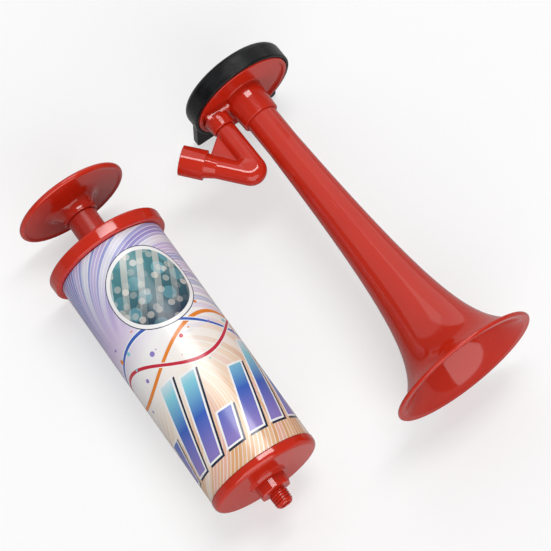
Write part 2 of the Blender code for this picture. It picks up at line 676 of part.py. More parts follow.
def end_cap(parent, parts, cutters):
    """Black cap pressed over the head, with the foot whose flat edge is as low as the bell's lip."""
    front = HEAD_FRONT_HEIGHT
    back_edge = END_CAP_BACK_EDGE
    front_edge = END_CAP_FRONT_EDGE
    profile = [(0.0, END_CAP_TOP)]
    profile += arc((END_CAP_RADIUS - back_edge, END_CAP_TOP - back_edge), back_edge, 90.0, 0.0, 3)
    profile += arc((END_CAP_RADIUS - front_edge, front + front_edge), front_edge, 0.0, -90.0, 2)
    profile.append((0.0, front))
    cap = turned("end_cap", profile, parent, parts, FINE_STEPS, closed=False)
    foot_back = END_CAP_TOP - FOOT_SETBACK
    foot = box(
        "level_foot", (-FOOT_HALF_WIDTH, 0.0, foot_back - FOOT_THICKNESS),
        (FOOT_HALF_WIDTH, BELL_RADIUS, foot_back), parent, cutters,
    )
    round_edges(foot, FOOT_CORNER, along=(0.0, 0.0, 1.0))
    hollow = rod_between(
        "cap_hollow", (0.0, 0.0, front - END_CAP_BACK), (0.0, 0.0, END_CAP_FLOOR), END_CAP_BORE,
        parent, cutters, FINE_STEPS,
    )
    combine(cap, foot, "UNION")
    combine(cap, hollow, "DIFFERENCE")
    return cap


def carrier(name, place, turn):
    """An empty that lays a standing assembly down."""
    made = bpy.data.objects.new(name, None)
    made.matrix_world = Matrix.Translation(place) @ turn
    bpy.context.scene.collection.objects.link(made)
    return made


def lay_pump():
    """The pump rests on its base band and on the cap's rim, so its axis tilts a little."""
    contact_run = CAP_FOOT + CAP_EDGE_RADIUS + BASE_BAND_HEIGHT
    tilt = atan((CAP_RADIUS - BASE_BAND_RADIUS) / contact_run)
    height = BASE_BAND_RADIUS * cos(tilt) + BASE_BAND_HEIGHT * sin(tilt)
    turn = Matrix.Rotation(PUMP_YAW, 4, "Z") @ Matrix.Rotation(tilt - 0.5 * pi, 4, "X")
    return carrier("pump_axis", (-PUMP_APART, PUMP_BACK, height), turn)


def lay_horn():
    """The horn rests level on the bell's lip and on the end cap's foot."""
    return carrier("horn_axis", (0.0, 0.0, BELL_RADIUS), Matrix.Rotation(-0.5 * pi, 4, "X"))


def centre_over_origin(carriers, pieces):
    """Shift both assemblies so that the middle of the whole stands over the origin."""
    points = [piece.matrix_world @ vertex.co for piece in pieces for vertex in piece.data.vertices]
    low = Vector(min(point[axis] for point in points) for axis in range(3))
    high = Vector(max(point[axis] for point in points) for axis in range(3))
    middle = 0.5 * (low + high)
    for each in carriers:
        each.location -= Vector((middle.x, middle.y, 0.0))


def main():
    clear_scene()
    parts = collection("hand_pump_air_horn")
    cutters = collection("cutters")
    red = plastic("red_plastic", 0.56, 0.016, 0.012, 0.22)
    black = plastic("black_rubber", 0.010, 0.010, 0.012, 0.45)
    paper = plastic("printed_film", 0.72, 0.66, 0.70, 0.25)
    seal = plastic("seal_rubber", 0.015, 0.015, 0.015, 0.6)
    steel = plastic("steel", 0.55, 0.55, 0.56, 0.3, 1.0)
    film = plastic("clear_film", 0.75, 0.78, 0.80, 0.2)

    pump = lay_pump()
    horn = lay_horn()
    built = [
        (pump_barrel(pump, parts, cutters), red),
        (barrel_label(pump, parts), paper),
        (top_cap(pump, parts), red),
        (pump_rod(pump, parts), red),
        (push_handle(pump, parts), red),
        (piston_head(pump, parts, cutters), red),
        (piston_ring(pump, parts), seal),
        (piston_washer(pump, parts), steel),
        (piston_screw(pump, parts), steel),
        (horn_bell(horn, parts), red),
        (horn_head(horn, parts, cutters), red),
        (inlet_elbow(horn, parts, cutters), red),
        (membrane(horn, parts), film),
        (membrane_ring(horn, parts), black),
        (end_cap(horn, parts, cutters), black),
    ]
    bpy.context.view_layer.update()
    for piece, material in built:
        finish(piece, material)
    bpy.context.view_layer.update()
    centre_over_origin((pump, horn), [piece for piece, material in built])
    bpy.context.view_layer.update()


main()
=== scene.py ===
"""Looks for a hand pump air horn: moulded red plastic, a printed sleeve and a black cap."""

import json
from math import asin, cos, degrees, pi, radians, sin, sqrt, tan

import bmesh
import bpy
from bpy.props import FloatProperty, FloatVectorProperty, PointerProperty
from mathutils import Matrix, Vector

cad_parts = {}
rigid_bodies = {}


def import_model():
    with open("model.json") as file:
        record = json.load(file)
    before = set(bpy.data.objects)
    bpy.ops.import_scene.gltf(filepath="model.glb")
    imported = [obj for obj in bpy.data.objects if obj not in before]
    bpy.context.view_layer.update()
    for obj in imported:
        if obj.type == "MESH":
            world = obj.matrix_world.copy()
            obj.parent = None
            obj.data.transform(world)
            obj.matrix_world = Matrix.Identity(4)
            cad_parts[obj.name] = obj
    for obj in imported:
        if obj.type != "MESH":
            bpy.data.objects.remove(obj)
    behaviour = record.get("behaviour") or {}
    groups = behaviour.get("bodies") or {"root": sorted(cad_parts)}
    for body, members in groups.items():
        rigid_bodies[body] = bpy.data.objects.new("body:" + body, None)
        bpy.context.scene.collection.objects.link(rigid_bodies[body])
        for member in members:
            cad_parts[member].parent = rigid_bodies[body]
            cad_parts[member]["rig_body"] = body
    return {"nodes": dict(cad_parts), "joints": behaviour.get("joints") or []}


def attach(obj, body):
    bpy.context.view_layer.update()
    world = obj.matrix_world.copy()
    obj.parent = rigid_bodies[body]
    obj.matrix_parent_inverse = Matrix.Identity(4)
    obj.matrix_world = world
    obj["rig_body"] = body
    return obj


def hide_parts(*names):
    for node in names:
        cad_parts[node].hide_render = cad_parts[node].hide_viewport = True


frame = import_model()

bl_info = {
    "name": "Hand Pump Air Horn",
    "version": (1, 0, 0),
    "blender": (4, 5, 0),
    "location": "View3D > Sidebar > Air Horn",
    "description": "Builds the finished look of a hand pump air horn around its solids",
    "category": "Object",
}

MM = 0.001
# Broken edge of a moulding, room between seated pieces, and room where a lip grips a tube
EDGE = 0.3 * MM
GAP = 0.3 * MM
GRIP = 0.06 * MM
UP = Vector((0.0, 0.0, 1.0))
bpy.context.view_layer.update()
JOINTS = {joint["name"]: joint for joint in frame["joints"]}


def hex_colour(code):
    """An sRGB hex colour as linear RGBA."""
    parts = [int(code[i:i + 2], 16) / 255.0 for i in (1, 3, 5)]
    linear = [p / 12.92 if p <= 0.04045 else ((p + 0.055) / 1.055) ** 2.4 for p in parts]
    return (*linear, 1.0)


def pump_place():
    """The pump's own frame: Z along the plunger's slide, X level, origin at the label's lower edge."""
    slide = JOINTS["plunger_slide"]
    along = Vector(slide["axis"]).normalized()
    across = along.cross(UP).normalized()
    turn = Matrix((across, along.cross(across), along)).transposed().to_4x4()
    return Matrix.Translation(slide["pos_m"]) @ turn


def horn_place():
    """The horn's own frame: Z from the bell's rim to the cap, Y down, origin at the rim's centre."""
    turn = Matrix(((1.0, 0.0, 0.0), (0.0, 0.0, 1.0), (0.0, -1.0, 0.0))).to_4x4()
    return Matrix.Translation(JOINTS["horn_set_down"]["pos_m"]) @ turn


PUMP = pump_place()
HORN = horn_place()
WHITE = hex_colour("#FFFFFF")


# Sizes and colours that can be changed


def length(label, millimetres, text):
    return FloatProperty(
        name=label, description=text, default=millimetres * MM, min=0.0, unit="LENGTH", precision=5
    )


def number(label, value, text):
    return FloatProperty(name=label, description=text, default=value, min=0.0)


def angle(label, degrees_turned, text):
    return FloatProperty(name=label, description=text, default=radians(degrees_turned), subtype="ANGLE")


def power(label, watts, text):
    return FloatProperty(name=label, description=text, default=watts, min=0.0, unit="POWER")


def colour(label, code, text):
    return FloatVectorProperty(
        name=label, description=text, default=hex_colour(code), size=4, min=0.0, max=1.0, subtype="COLOR"
    )


class PumpSizes(bpy.types.PropertyGroup):
    """Sizes of the pump's finished shapes."""

    barrel_radius: length("Barrel radius", 24.45, "Outside of the tube under the label")
    barrel_wall: length("Barrel wall", 1.85, "Wall of the tube")
    barrel_top: length("Barrel top", 116.5, "Upper end of the tube above the label's lower edge")
    band_radius: length("Band radius", 25.2, "Band below the label")
    band_height: length("Band height", 2.1, "Straight part of the band")
    base_corner: length("Base corner", 2.4, "Rounding from the band to the flat base")
    base_crown: length("Base crown", 0.3, "How far the base swells out towards its boss")
    base_wall: length("Base wall", 2.0, "Thickness of the base")
    boss_foot: length("Boss foot", 9.4, "Low boss round the outlet, at the base")
    boss_top: length("Boss top", 8.6, "Low boss round the outlet, at the hexagon")
    boss_height: length("Boss height", 1.3, "Rise of the low boss")
    hexagon_flats: length("Hexagon flats", 14.0, "Across the flats of the outlet's hexagon")
    hexagon_height: length("Hexagon height", 4.8, "Along the outlet")
    hexagon_draft: length("Hexagon draft", 0.2, "How much the hexagon narrows towards the outlet")
    ridge_cut: length("Ridge cut", 1.3, "How far the hexagon's ridges are cut back on each flat")
    outlet_radius: length("Outlet radius", 4.24, "Crest of the outlet's thread at the hexagon")
    outlet_tip: length("Outlet tip", 3.9, "Crest of the outlet's thread at the tip")
    outlet_chamfer: length("Outlet chamfer", 1.0, "At the tip")
    outlet_length: length("Outlet length", 7.1, "From the hexagon to the tip")
    outlet_bore: length("Outlet bore", 2.2, "Air hole")
    thread_pitch: length("Thread pitch", 1.22, "Step of one turn")
    thread_depth: length("Thread depth", 0.6, "Crest above root")
    label_length: length("Label length", 113.0, "Along the barrel")
    label_film: length("Label film", 0.12, "Thickness of the printed film")
    label_lap: length("Label lap", 7.0, "Overlap of the film at its seam")
    cap_radius: length("Cap radius", 27.9, "Outside of the top cap")
    cap_foot: length("Cap foot", 113.3, "Lower edge of the cap above the label's lower edge")
    cap_height: length("Cap height", 6.1, "Along the barrel")
    cap_plate: length("Cap plate", 2.6, "Thickness of the cap's top")
    cap_edge: length("Cap edge", 0.95, "Rounding of the cap's edges")
    guide_wall: length("Guide wall", 2.6, "Wall of the sleeve that guides the rod")
    guide_end: length("Guide end", 109.3, "Lower end of that sleeve")
    rod_radius: length("Rod radius", 6.8, "Outside of the plunger's rod")
    rod_wall: length("Rod wall", 2.2, "Wall of the rod")
    rod_foot: length("Rod foot", 29.4, "Lower end of the rod")
    rod_top: length("Rod top", 145.6, "Upper end of the rod, in the hub")
    hub_end: length("Hub end", 136.7, "Lower end of the handle's hub")
    hub_radius: length("Hub radius", 8.1, "Outside of the hub")
    hub_fillet: length("Hub fillet", 6.4, "Fillet from the hub to the handle's underside")
    hub_socket: length("Hub socket", 9.2, "Depth of the socket for the rod")
    handle_radius: length("Handle radius", 26.0, "Outside of the handle")
    handle_depth: length("Handle depth", 8.3, "From the hub's end to the middle of the rim")
    handle_rim: length("Handle rim", 2.6, "Thickness of the rim's bead")
    handle_recess: length("Handle recess", 0.45, "How far the underside lies inside the bead")
    handle_dome: length("Handle dome", 2.4, "Rise of the palm rest")
    slide_gap: length("Slide gap", 0.3, "Clearance round the rod")
    draft: length("Draft", 0.26, "How much the flange tapers towards the outlet")
    band_draft: length("Band draft", 0.09, "How much the base band tapers towards the outlet")
    hexagon_turn: angle("Hexagon turn", 24.2, "Of the hexagon round the outlet")


class HornSizes(bpy.types.PropertyGroup):
    """Sizes of the horn's finished shapes."""

    bell_radius: length("Bell radius", 34.48, "Outside of the rim")
    bell_wall: length("Bell wall", 1.3, "Wall of the bell")
    bell_lip: length("Bell lip", 0.9, "Radius of the rolled lip")
    flare_length: length("Flare length", 9.65, "How far back the flare opens")
    neck_radius: length("Neck radius", 7.3, "Straight neck behind the flare")
    neck_start: length("Neck start", 123.0, "End of the flare behind the rim")
    neck_shoulder: length("Neck shoulder", 4.0, "From the flare to the neck")
    head_face: length("Head face", 157.7, "Front face of the head behind the rim")
    head_back: length("Head back", 163.3, "Seat of the membrane behind the rim")
    head_radius: length("Head radius", 23.3, "Outside of the head")
    head_wall: length("Head wall", 2.0, "Wall of the cup")
    head_rim_width: length("Head rim width", 1.7, "Raised ring round the face")
    head_rim_rise: length("Head rim rise", 1.0, "Height of the raised ring")
    collar_end: length("Collar end", 143.5, "Front end of the collar behind the rim")
    collar_foot_radius: length("Collar foot radius", 9.2, "Collar at the face")
    collar_swell: length("Collar swell", 0.3, "How much the collar widens at its foot")
    collar_waist: length("Collar waist", 6.0, "From the face to where the collar's foot ends")
    collar_waist_radius: length("Collar waist radius", 8.95, "Collar where its foot ends")
    collar_end_radius: length("Collar end radius", 8.6, "Collar at its front end")
    inlet_offset: length("Inlet offset", 15.9, "From the horn's axis to the inlet's")
    inlet_bore: length("Inlet bore", 2.6, "Air way through the elbow")
    block_outer: length("Block outer", 21.0, "Far side of the inlet block")
    block_half: length("Block half", 5.8, "Half of the block's height")
    block_draft: length("Block draft", 0.68, "How much the block narrows towards its front")
    block_face: length("Block face", 154.0, "Front of the block behind the rim")
    boss_end: length("Boss end", 148.8, "Front of the inlet boss behind the rim")
    boss_radius: length("Boss radius", 5.3, "Inlet boss at its front")
    boss_draft: length("Boss draft", 0.4, "Extra radius of the boss at the block")
    leg_radius: length("Leg radius", 4.65, "Outside of the elbow's legs")
    leg_length: length("Leg length", 22.44, "From the boss to the bend")
    plug_radius: length("Plug radius", 3.7, "Plug that enters the boss")
    plug_length: length("Plug length", 5.3, "Along the plug, with the part inside the leg")
    bend_radius: length("Bend radius", 2.45, "Of the elbow's centre line")
    return_length: length("Return length", 30.35, "From the bend to the socket's mouth")
    socket_radius: length("Socket radius", 6.65, "Outside of the socket")
    socket_bore: length("Socket bore", 4.8, "Root of the socket's thread")
    socket_length: length("Socket length", 11.0, "Outside length of the socket")
    socket_floor: length("Socket floor", 1.85, "Thickness behind the socket's bore")
    socket_step: length("Socket step", 1.1, "Step from the socket to its cone")
    socket_cone: length("Socket cone", 5.0, "Taper from the leg to the socket")
    web_thickness: length("Web thickness", 1.6, "Of the flat web between the legs")
    web_setback: length("Web setback", 0.8, "From the web's corners to the boss and the socket")
    cap_front: length("Cap front", 157.2, "Front edge of the black cap behind the rim")
    cap_back: length("Cap back", 166.9, "Back of the black cap behind the rim")
    cap_floor: length("Cap floor", 165.25, "Inside of the cap's back")
    cap_radius: length("Cap radius", 25.0, "Outside of the black cap")
    cap_bore: length("Cap bore", 23.6, "Inside of the black cap")
    foot_half: length("Foot half", 21.5, "Half width of the flat foot")
    foot_reach: length("Foot reach", 34.5, "From the axis down to the floor")
    foot_back: length("Foot back", 165.3, "Back of the foot behind the rim")
    foot_thickness: length("Foot thickness", 3.0, "Of the flat foot")
    foot_corner: length("Foot corner", 2.0, "Rounding of the foot's corners")
    flare_power: number("Flare power", 0.585, "How fast the flare opens")
    return_angle: angle("Return angle", 40.05, "Between the legs")


class Finishes(bpy.types.PropertyGroup):
    """Colours of the plastics, the seal and the metal."""

    red: colour("Red", "#CD2D17", "Moulded red plastic")
    red_deep: colour("Deep red", "#C22613", "Darker clouds in the red")
    red_scuff: colour("Red scuff", "#D8604F", "Fine rubbed lines on the red")
    black: colour("Black", "#0C0D0F", "Satin black cap")
    black_scuff: colour("Black scuff", "#2A2B2E", "Rubbed patches on the black")
    rubber: colour("Rubber", "#1B1B1A", "Piston ring")
    zinc: colour("Zinc", "#B9BBBD", "Plated washer and screw")
    film: colour("Film", "#DDE3E6", "Membrane")


class LabelInks(bpy.types.PropertyGroup):
    """Inks of the printed sleeve, from its lower edge to its upper one."""

    tan: colour("Tan", "#DFA673", "Lower edge")
    peach: colour("Peach", "#EEC49C", "Above the lower edge")
    cream: colour("Cream", "#F8EEE3", "Lower middle")
    white: colour("White", "#F7F5F5", "Middle")
    lilac: colour("Lilac", "#D3C0E4", "Upper part")
    periwinkle: colour("Periwinkle", "#8C9BD3", "Upper edge")
    rose: colour("Rose", "#EFB9AC", "Some of the lower rays")
    violet: colour("Violet", "#8F7FC6", "Some of the upper rays and the bars' feet")
    blue: colour("Blue", "#3B63BE", "Bars and a ribbon")
    sky: colour("Sky", "#8AD0E0", "Tops of the bars")
    teal: colour("Teal", "#4F8E94", "Badge, light part")
    navy: colour("Navy", "#1E2C45", "Badge, dark part and the bars' shadows")
    orange: colour("Orange", "#E9862F", "A ribbon")
    cherry: colour("Cherry", "#C9283E", "A ribbon")


class StageSetup(bpy.types.PropertyGroup):
    """Floor, light and camera."""

    floor: colour("Floor", "#B2B2B2", "Pale floor")
    floor_half: length("Floor half width", 6000.0, "Half of the floor's side")
    floor_lift: number("Floor lift", 0.54, "How far the floor is lifted towards white for the camera")
    key_power: power("Key light", 24.0, "Small softbox overhead")
    side_power: power("Side light", 29.0, "Broad panel behind and to the right")
    ceiling_power: power("Ceiling light", 20.0, "Broad dim panel behind and to the left")
    front_power: power("Front light", 78.0, "Broad low panel in front and to the left")
    sky_level: number("Sky level", 0.15, "Even light from all round")
    sky_mirrored: number("Mirrored sky", 0.2, "What glossy surfaces show of the white backdrop")
    floor_mirrored: number("Mirrored floor", 0.08, "What glossy surfaces show of the white floor's lift")
    target: FloatVectorProperty(
        name="Target", description="Point on the floor that the camera looks at", size=3,
        default=(0.011354, 0.008983, 0.0), subtype="TRANSLATION", unit="LENGTH",
    )
    distance: length("Camera distance", 1189.0, "From the target")
    elevation: angle("Elevation", 67.93, "Camera above the floor")
    azimuth: angle("Azimuth", -36.48, "Camera round the vertical")
    view_angle: angle("View angle", 11.556, "Across the frame")


# Mesh tools


def clamp(value):
    return min(max(value, 0.0), 1.0)


def arc(centre, radius, start, end, steps):
    """Points on a round, from one angle to another in degrees."""
    turns = [radians(start + (end - start) * i / steps) for i in range(steps + 1)]
    return [(centre[0] + radius * cos(turn), centre[1] + radius * sin(turn)) for turn in turns]


def rounded(corners, steps=6):
    """A profile whose corners, given as (across, height, radius), are rounded by their radius."""
    points = []
    for i, corner in enumerate(corners):
        here = Vector(corner[:2])
        size = corner[2] if len(corner) > 2 else 0.0
        if size == 0.0:
            points.append(tuple(here))
            continue
        before = (Vector(corners[i - 1][:2]) - here).normalized()
        after = (Vector(corners[(i + 1) % len(corners)][:2]) - here).normalized()
        half = 0.5 * before.angle(after)
        reach = size / tan(half)
        middle = here + (before + after).normalized() * (size / sin(half))
        first = here + before * reach - middle
        last = here + after * reach - middle
        for step in range(steps + 1):
            points.append(tuple(middle + size * first.slerp(last, step / steps)))
    return points


def turned(profile, place, steps, closed=False):
    """A profile (across, height), down its outer side, turned about the Z axis of its place."""
    shape = bmesh.new()
    rings = []
    for across, height in profile:
        count = 1 if across < 1e-7 else steps
        turns = [2.0 * pi * i / steps for i in range(count)]
        ring = [shape.verts.new(place @ Vector((across * cos(t), across * sin(t), height))) for t in turns]
        rings.append(ring)
    pairs = list(zip(rings, rings[1:]))
    if closed:
        pairs.append((rings[-1], rings[0]))
    for upper, lower in pairs:
        for i in range(steps):
            j = (i + 1) % steps
            corners = [upper[i % len(upper)], lower[i % len(lower)]]
            corners += [lower[j % len(lower)], upper[j % len(upper)]]
            shape.faces.new(list(dict.fromkeys(corners)))
    return as_mesh(shape)


def spun(corners, place, steps, rounds=6, closed=False):
    """A profile with rounded corners, turned about the Z axis of its place."""
    return turned(rounded(corners, rounds), place, steps, closed)


def gripping(tube, bore, mouth):
    """The mouth of a bore that grips a tube with a lip of 1 mm."""
    lip = tube + GRIP
    edge = 0.12 * MM
    opened = mouth + 1.5 * MM
    return [(lip, mouth, edge), (lip, mouth + MM), (bore, opened)]


def threaded(place, run, crests, depth, pitch, chamfer, sunk=0.0, flare=False, steps=112):
    """A rod whose helical ridge goes from one crest radius to another, with the mould's parting lines.

    The ridge fades in at the start. The far end is chamfered, or opened by a flare for a tapped hole.
    """
    rows = 170
    tooth_top = 2.4
    tooth_slope = 6.0
    fade_start = 0.25
    seams = (0.215, 0.715)
    seam_half = 0.009
    seam_height = 0.72
    shape = bmesh.new()
    grid = []
    for row in range(rows + 1):
        reach = -sunk + (run + sunk) * row / rows
        crest = crests[0] + (crests[1] - crests[0]) * max(reach, 0.0) / run
        root = crest - depth
        edge = max(reach - (run - chamfer), 0.0)
        ring = []
        for i in range(steps):
            share = i / steps
            phase = (reach / pitch - share) % 1.0
            tooth = clamp(tooth_top - abs(phase - 0.5) * tooth_slope)
            radius = root + depth * tooth * clamp(reach / pitch - fade_start)
            if reach > 0.0 and min(abs(share - seam) for seam in seams) < seam_half:
                radius = max(radius, root + seam_height * depth)
            radius = max(radius, root + edge) if flare else min(radius, crest - edge)
            turn = 2.0 * pi * share
            ring.append(shape.verts.new(place @ Vector((radius * cos(turn), radius * sin(turn), reach))))
        grid.append(ring)
    for lower, upper in zip(grid, grid[1:]):
        for i in range(steps):
            j = (i + 1) % steps
            shape.faces.new((lower[i], lower[j], upper[j], upper[i]))
    shape.faces.new(list(reversed(grid[0])))
    shape.faces.new(grid[-1])
    return as_mesh(shape)


def lies_along(edge, axis):
    return abs((edge.verts[1].co - edge.verts[0].co).normalized().dot(axis)) > 0.99


def block(low, high, bevel, place, axis=None, steps=4, draft=0.0):
    """A box with its edges rounded, all or only those along an axis, and narrowed at its low Z end."""
    shape = bmesh.new()
    bmesh.ops.create_cube(shape, size=1.0)
    low, high = Vector(low), Vector(high)
    fit = Matrix.Translation(0.5 * (low + high)) @ Matrix.Diagonal((high - low).to_4d())
    bmesh.ops.transform(shape, matrix=fit, verts=shape.verts)
    for vert in shape.verts:
        if draft and vert.co.z < fit.translation.z:
            vert.co.x += draft if vert.co.x < fit.translation.x else -draft
            vert.co.y += draft if vert.co.y < fit.translation.y else -draft
    edges = [e for e in shape.edges if axis is None or lies_along(e, axis)]
    bmesh.ops.bevel(shape, geom=edges, offset=bevel, segments=steps, profile=0.5, affect="EDGES")
    bmesh.ops.transform(shape, matrix=place, verts=shape.verts)
    return as_mesh(shape)


def as_mesh(shape):
    bmesh.ops.recalc_face_normals(shape, faces=shape.faces)
    mesh = bpy.data.meshes.new("shape")
    shape.to_mesh(mesh)
    shape.free()
    return mesh


def toward(start, direction):
    """A place at a point of the horn, with its Z axis along a direction."""
    return HORN @ Matrix.Translation(start) @ direction.to_track_quat("Z", "Y").to_matrix().to_4x4()


def put(name, data):
    """A new object in the scene."""
    made = bpy.data.objects.new(name, data)
    bpy.context.scene.collection.objects.link(made)
    return made


def shaped(mesh, changes):
    """A mesh after joins, cuts and modifiers, given in order as (kind, mesh or settings)."""
    base = put("base", mesh)
    helpers = [base]
    for kind, value in changes:
        if kind in ("UNION", "DIFFERENCE"):
            tool = put("tool", value)
            helpers.append(tool)
            change = base.modifiers.new(kind, "BOOLEAN")
            change.operation = kind
            change.solver = "MANIFOLD"
            change.object = tool
        else:
            change = base.modifiers.new(kind, kind)
            for key, setting in value.items():
                setattr(change, key, setting)
    bpy.context.view_layer.update()
    result = bpy.data.meshes.new_from_object(base.evaluated_get(bpy.context.evaluated_depsgraph_get()))
    for helper in helpers:
        bpy.data.objects.remove(helper)
    if not result.polygons:
        raise RuntimeError("a join left nothing")
    return result


def dress(name, mesh, node, material, sharp=34.0):
    """A finished piece that stands for one solid and moves with its body."""
    mesh.name = name
    mesh.materials.clear()
    mesh.materials.append(material)
    mesh.shade_smooth()
    mesh.set_sharp_from_angle(angle=radians(sharp))
    piece = put(name, mesh)
    even = piece.modifiers.new("even_normals", "WEIGHTED_NORMAL")
    even.keep_sharp = True
    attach(piece, frame["nodes"][node]["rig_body"])
    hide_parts(node)


def paint(nodes, material):
    """Give solids that stay as they are a finish of their own."""
    for name in nodes:
        solid = frame["nodes"][name]
        solid.data.materials.clear()
        solid.data.materials.append(material)


# Finishes


def fill(node, sockets):
    """Fill a node's sockets with values or with other nodes' outputs."""
    for key, value in sockets.items():
        if isinstance(value, tuple) and isinstance(value[0], bpy.types.Node):
            value = value[0].outputs[value[1]]
        elif isinstance(value, bpy.types.Node):
            value = next(o for o in value.outputs if o.enabled)
        if isinstance(value, bpy.types.NodeSocket):
            node.id_data.links.new(value, node.inputs[key])
        else:
            node.inputs[key].default_value = value


def add(tree, kind, sockets=None, **settings):
    """Add a node, set its properties and fill its sockets."""
    made = tree.nodes.new("ShaderNode" + kind)
    for key, value in settings.items():
        setattr(made, key, value)
    fill(made, sockets or {})
    return made


def stops(made, entries, interpolation="LINEAR"):
    """Set the stops of a colour ramp, given as (position, colour)."""
    made.color_ramp.interpolation = interpolation
    while len(made.color_ramp.elements) < len(entries):
        made.color_ramp.elements.new(1.0)
    for element, (position, tint) in zip(made.color_ramp.elements, entries):
        element.position = position
        element.color = tint
    return made


def blank(name):
    """A new material, its tree, its Principled shader and the places on the piece."""
    material = bpy.data.materials.new(name)
    material.use_nodes = True
    tree = material.node_tree
    return material, tree, tree.nodes["Principled BSDF"], add(tree, "TexCoord").outputs["Object"]


def moulded_polypropylene(skin="moulded", polished=0.08, dullest=0.13):
    """Red polypropylene, injection moulded in a polished tool."""
    # Glossy skin with a faint ripple, soft clouds in the pigment and a few hairline rubs
    name = f"polypropylene_{skin}_red"
    material = bpy.data.materials.get(name)
    if material:
        return material
    tints = bpy.context.scene.horn_finishes
    material, tree, shader, spot = blank(name)
    cloud_width = 16.0 * MM
    clouds = add(tree, "TexNoise", {"Vector": spot, "Scale": 1.0 / cloud_width, "Detail": 3.0})
    tone = add(tree, "Mix", {0: clouds, 6: tints.red, 7: tints.red_deep}, data_type="RGBA")
    # Rubs come in patches, about 13 mm long, and are drawn wider than real ones so that they show
    rub_pitch = 0.4 * MM
    rub_dullness = 0.25
    patch_width = 9.0 * MM
    lanes = add(tree, "Mapping", {"Vector": spot, "Rotation": (0.5, 0.3, 0.9), "Scale": (1.0, 0.03, 0.03)})
    lines = add(tree, "TexNoise", {"Vector": lanes, "Scale": 1.0 / rub_pitch, "Detail": 2.0})
    lines = add(tree, "MapRange", {"Value": lines, "From Min": 0.66, "From Max": 0.72})
    patches = add(tree, "TexNoise", {"Vector": spot, "Scale": 1.0 / patch_width, "Detail": 1.0})
    patches = add(tree, "MapRange", {"Value": patches, "From Min": 0.5, "From Max": 0.68, "To Max": 0.5})
    rubs = add(tree, "Math", {0: lines, 1: patches}, operation="MULTIPLY")
    worn = add(tree, "Mix", {0: rubs, 6: tone, 7: tints.red_scuff}, data_type="RGBA")
    gloss = add(
        tree, "MapRange",
        {"Value": clouds, "From Min": 0.3, "From Max": 0.7, "To Min": polished, "To Max": dullest},
    )
    dull = add(tree, "Math", {0: rubs, 1: rub_dullness, 2: gloss}, operation="MULTIPLY_ADD")
    # Ripple of the moulded skin, from crest to crest
    ripple_width = 1.6 * MM
    ripple = add(tree, "TexNoise", {"Vector": spot, "Scale": 1.0 / ripple_width, "Detail": 1.0})
    ripple = add(tree, "Bump", {"Height": ripple, "Strength": 0.22, "Distance": 0.02 * MM})
    fill(shader, {"Base Color": worn, "Roughness": dull, "Normal": ripple, "IOR": 1.49})
    return material


def satin_plastic():
    """Black low-density polyethylene, injection moulded in a spark-eroded tool."""
    # Satin skin with a fine grain, rubbed paler in patches where the cap was pressed on
    name = "polyethylene_satin_black"
    material = bpy.data.materials.get(name)
    if material:
        return material
    tints = bpy.context.scene.horn_finishes
    material, tree, shader, spot = blank(name)
    patch_width = 7.0 * MM
    rub_pitch = 0.6 * MM
    patches = add(tree, "TexNoise", {"Vector": spot, "Scale": 1.0 / patch_width, "Detail": 5.0})
    lanes = add(tree, "Mapping", {"Vector": spot, "Rotation": (0.0, 0.7, 0.2), "Scale": (0.06, 1.0, 0.06)})
    lines = add(tree, "TexNoise", {"Vector": lanes, "Scale": 1.0 / rub_pitch, "Detail": 3.0})
    rubs = add(tree, "Math", {0: patches, 1: lines}, operation="MULTIPLY")
    rubs = add(tree, "MapRange", {"Value": rubs, "From Min": 0.27, "From Max": 0.42, "To Max": 0.55})
    tone = add(tree, "Mix", {0: rubs, 6: tints.black, 7: tints.black_scuff}, data_type="RGBA")
    gloss = add(
        tree, "MapRange",
        {"Value": patches, "From Min": 0.3, "From Max": 0.7, "To Min": 0.2, "To Max": 0.34},
    )
    # Spark grain, drawn coarser than the real one so that it shows
    grain_width = 0.35 * MM
    grain = add(tree, "TexNoise", {"Vector": spot, "Scale": 1.0 / grain_width, "Detail": 2.0})
    grain = add(tree, "Bump", {"Height": grain, "Strength": 0.35, "Distance": 0.02 * MM})
    fill(shader, {"Base Color": tone, "Roughness": gloss, "Normal": grain})
    fill(shader, {"IOR": 1.51, "Specular IOR Level": 0.24})
    return material


def clouded(name, width, tints, gloss, bump, sockets):
    """A finish whose tone, gloss and height follow one noise."""
    material, tree, shader, spot = blank(name)
    clouds = add(tree, "TexNoise", {"Vector": spot, "Scale": 1.0 / width, "Detail": 4.0})
    tone = add(tree, "Mix", {0: clouds, 6: tints[0], 7: tints[1]}, data_type="RGBA")
    shine = add(tree, "MapRange", {"Value": clouds, "To Min": gloss[0], "To Max": gloss[1]})
    height = add(tree, "Bump", {"Height": clouds, "Strength": bump[0], "Distance": bump[1]})
    fill(shader, {"Base Color": tone, "Roughness": shine, "Normal": height, **sockets})
    return material


def seal_rubber():
    """Nitrile rubber, compression moulded and greased."""
    # Dark and soft, with a smear of grease that shines in places
    shades = bpy.context.scene.horn_finishes
    return clouded(
        "nitrile_rubber_greased", width=3.0 * MM, tints=(shades.rubber, shades.black_scuff),
        gloss=(0.35, 0.7), bump=(0.3, 0.03 * MM), sockets={"IOR": 1.52},
    )


def plated_steel():
    """Steel, stamped and turned, bright zinc plated."""
    # Cool metal with cloudy, slightly uneven plating
    shades = bpy.context.scene.horn_finishes
    return clouded(
        "steel_zinc_plated", width=1.2 * MM, tints=(shades.zinc, shades.film),
        gloss=(0.2, 0.42), bump=(0.2, 0.01 * MM), sockets={"Metallic": 1.0},
    )


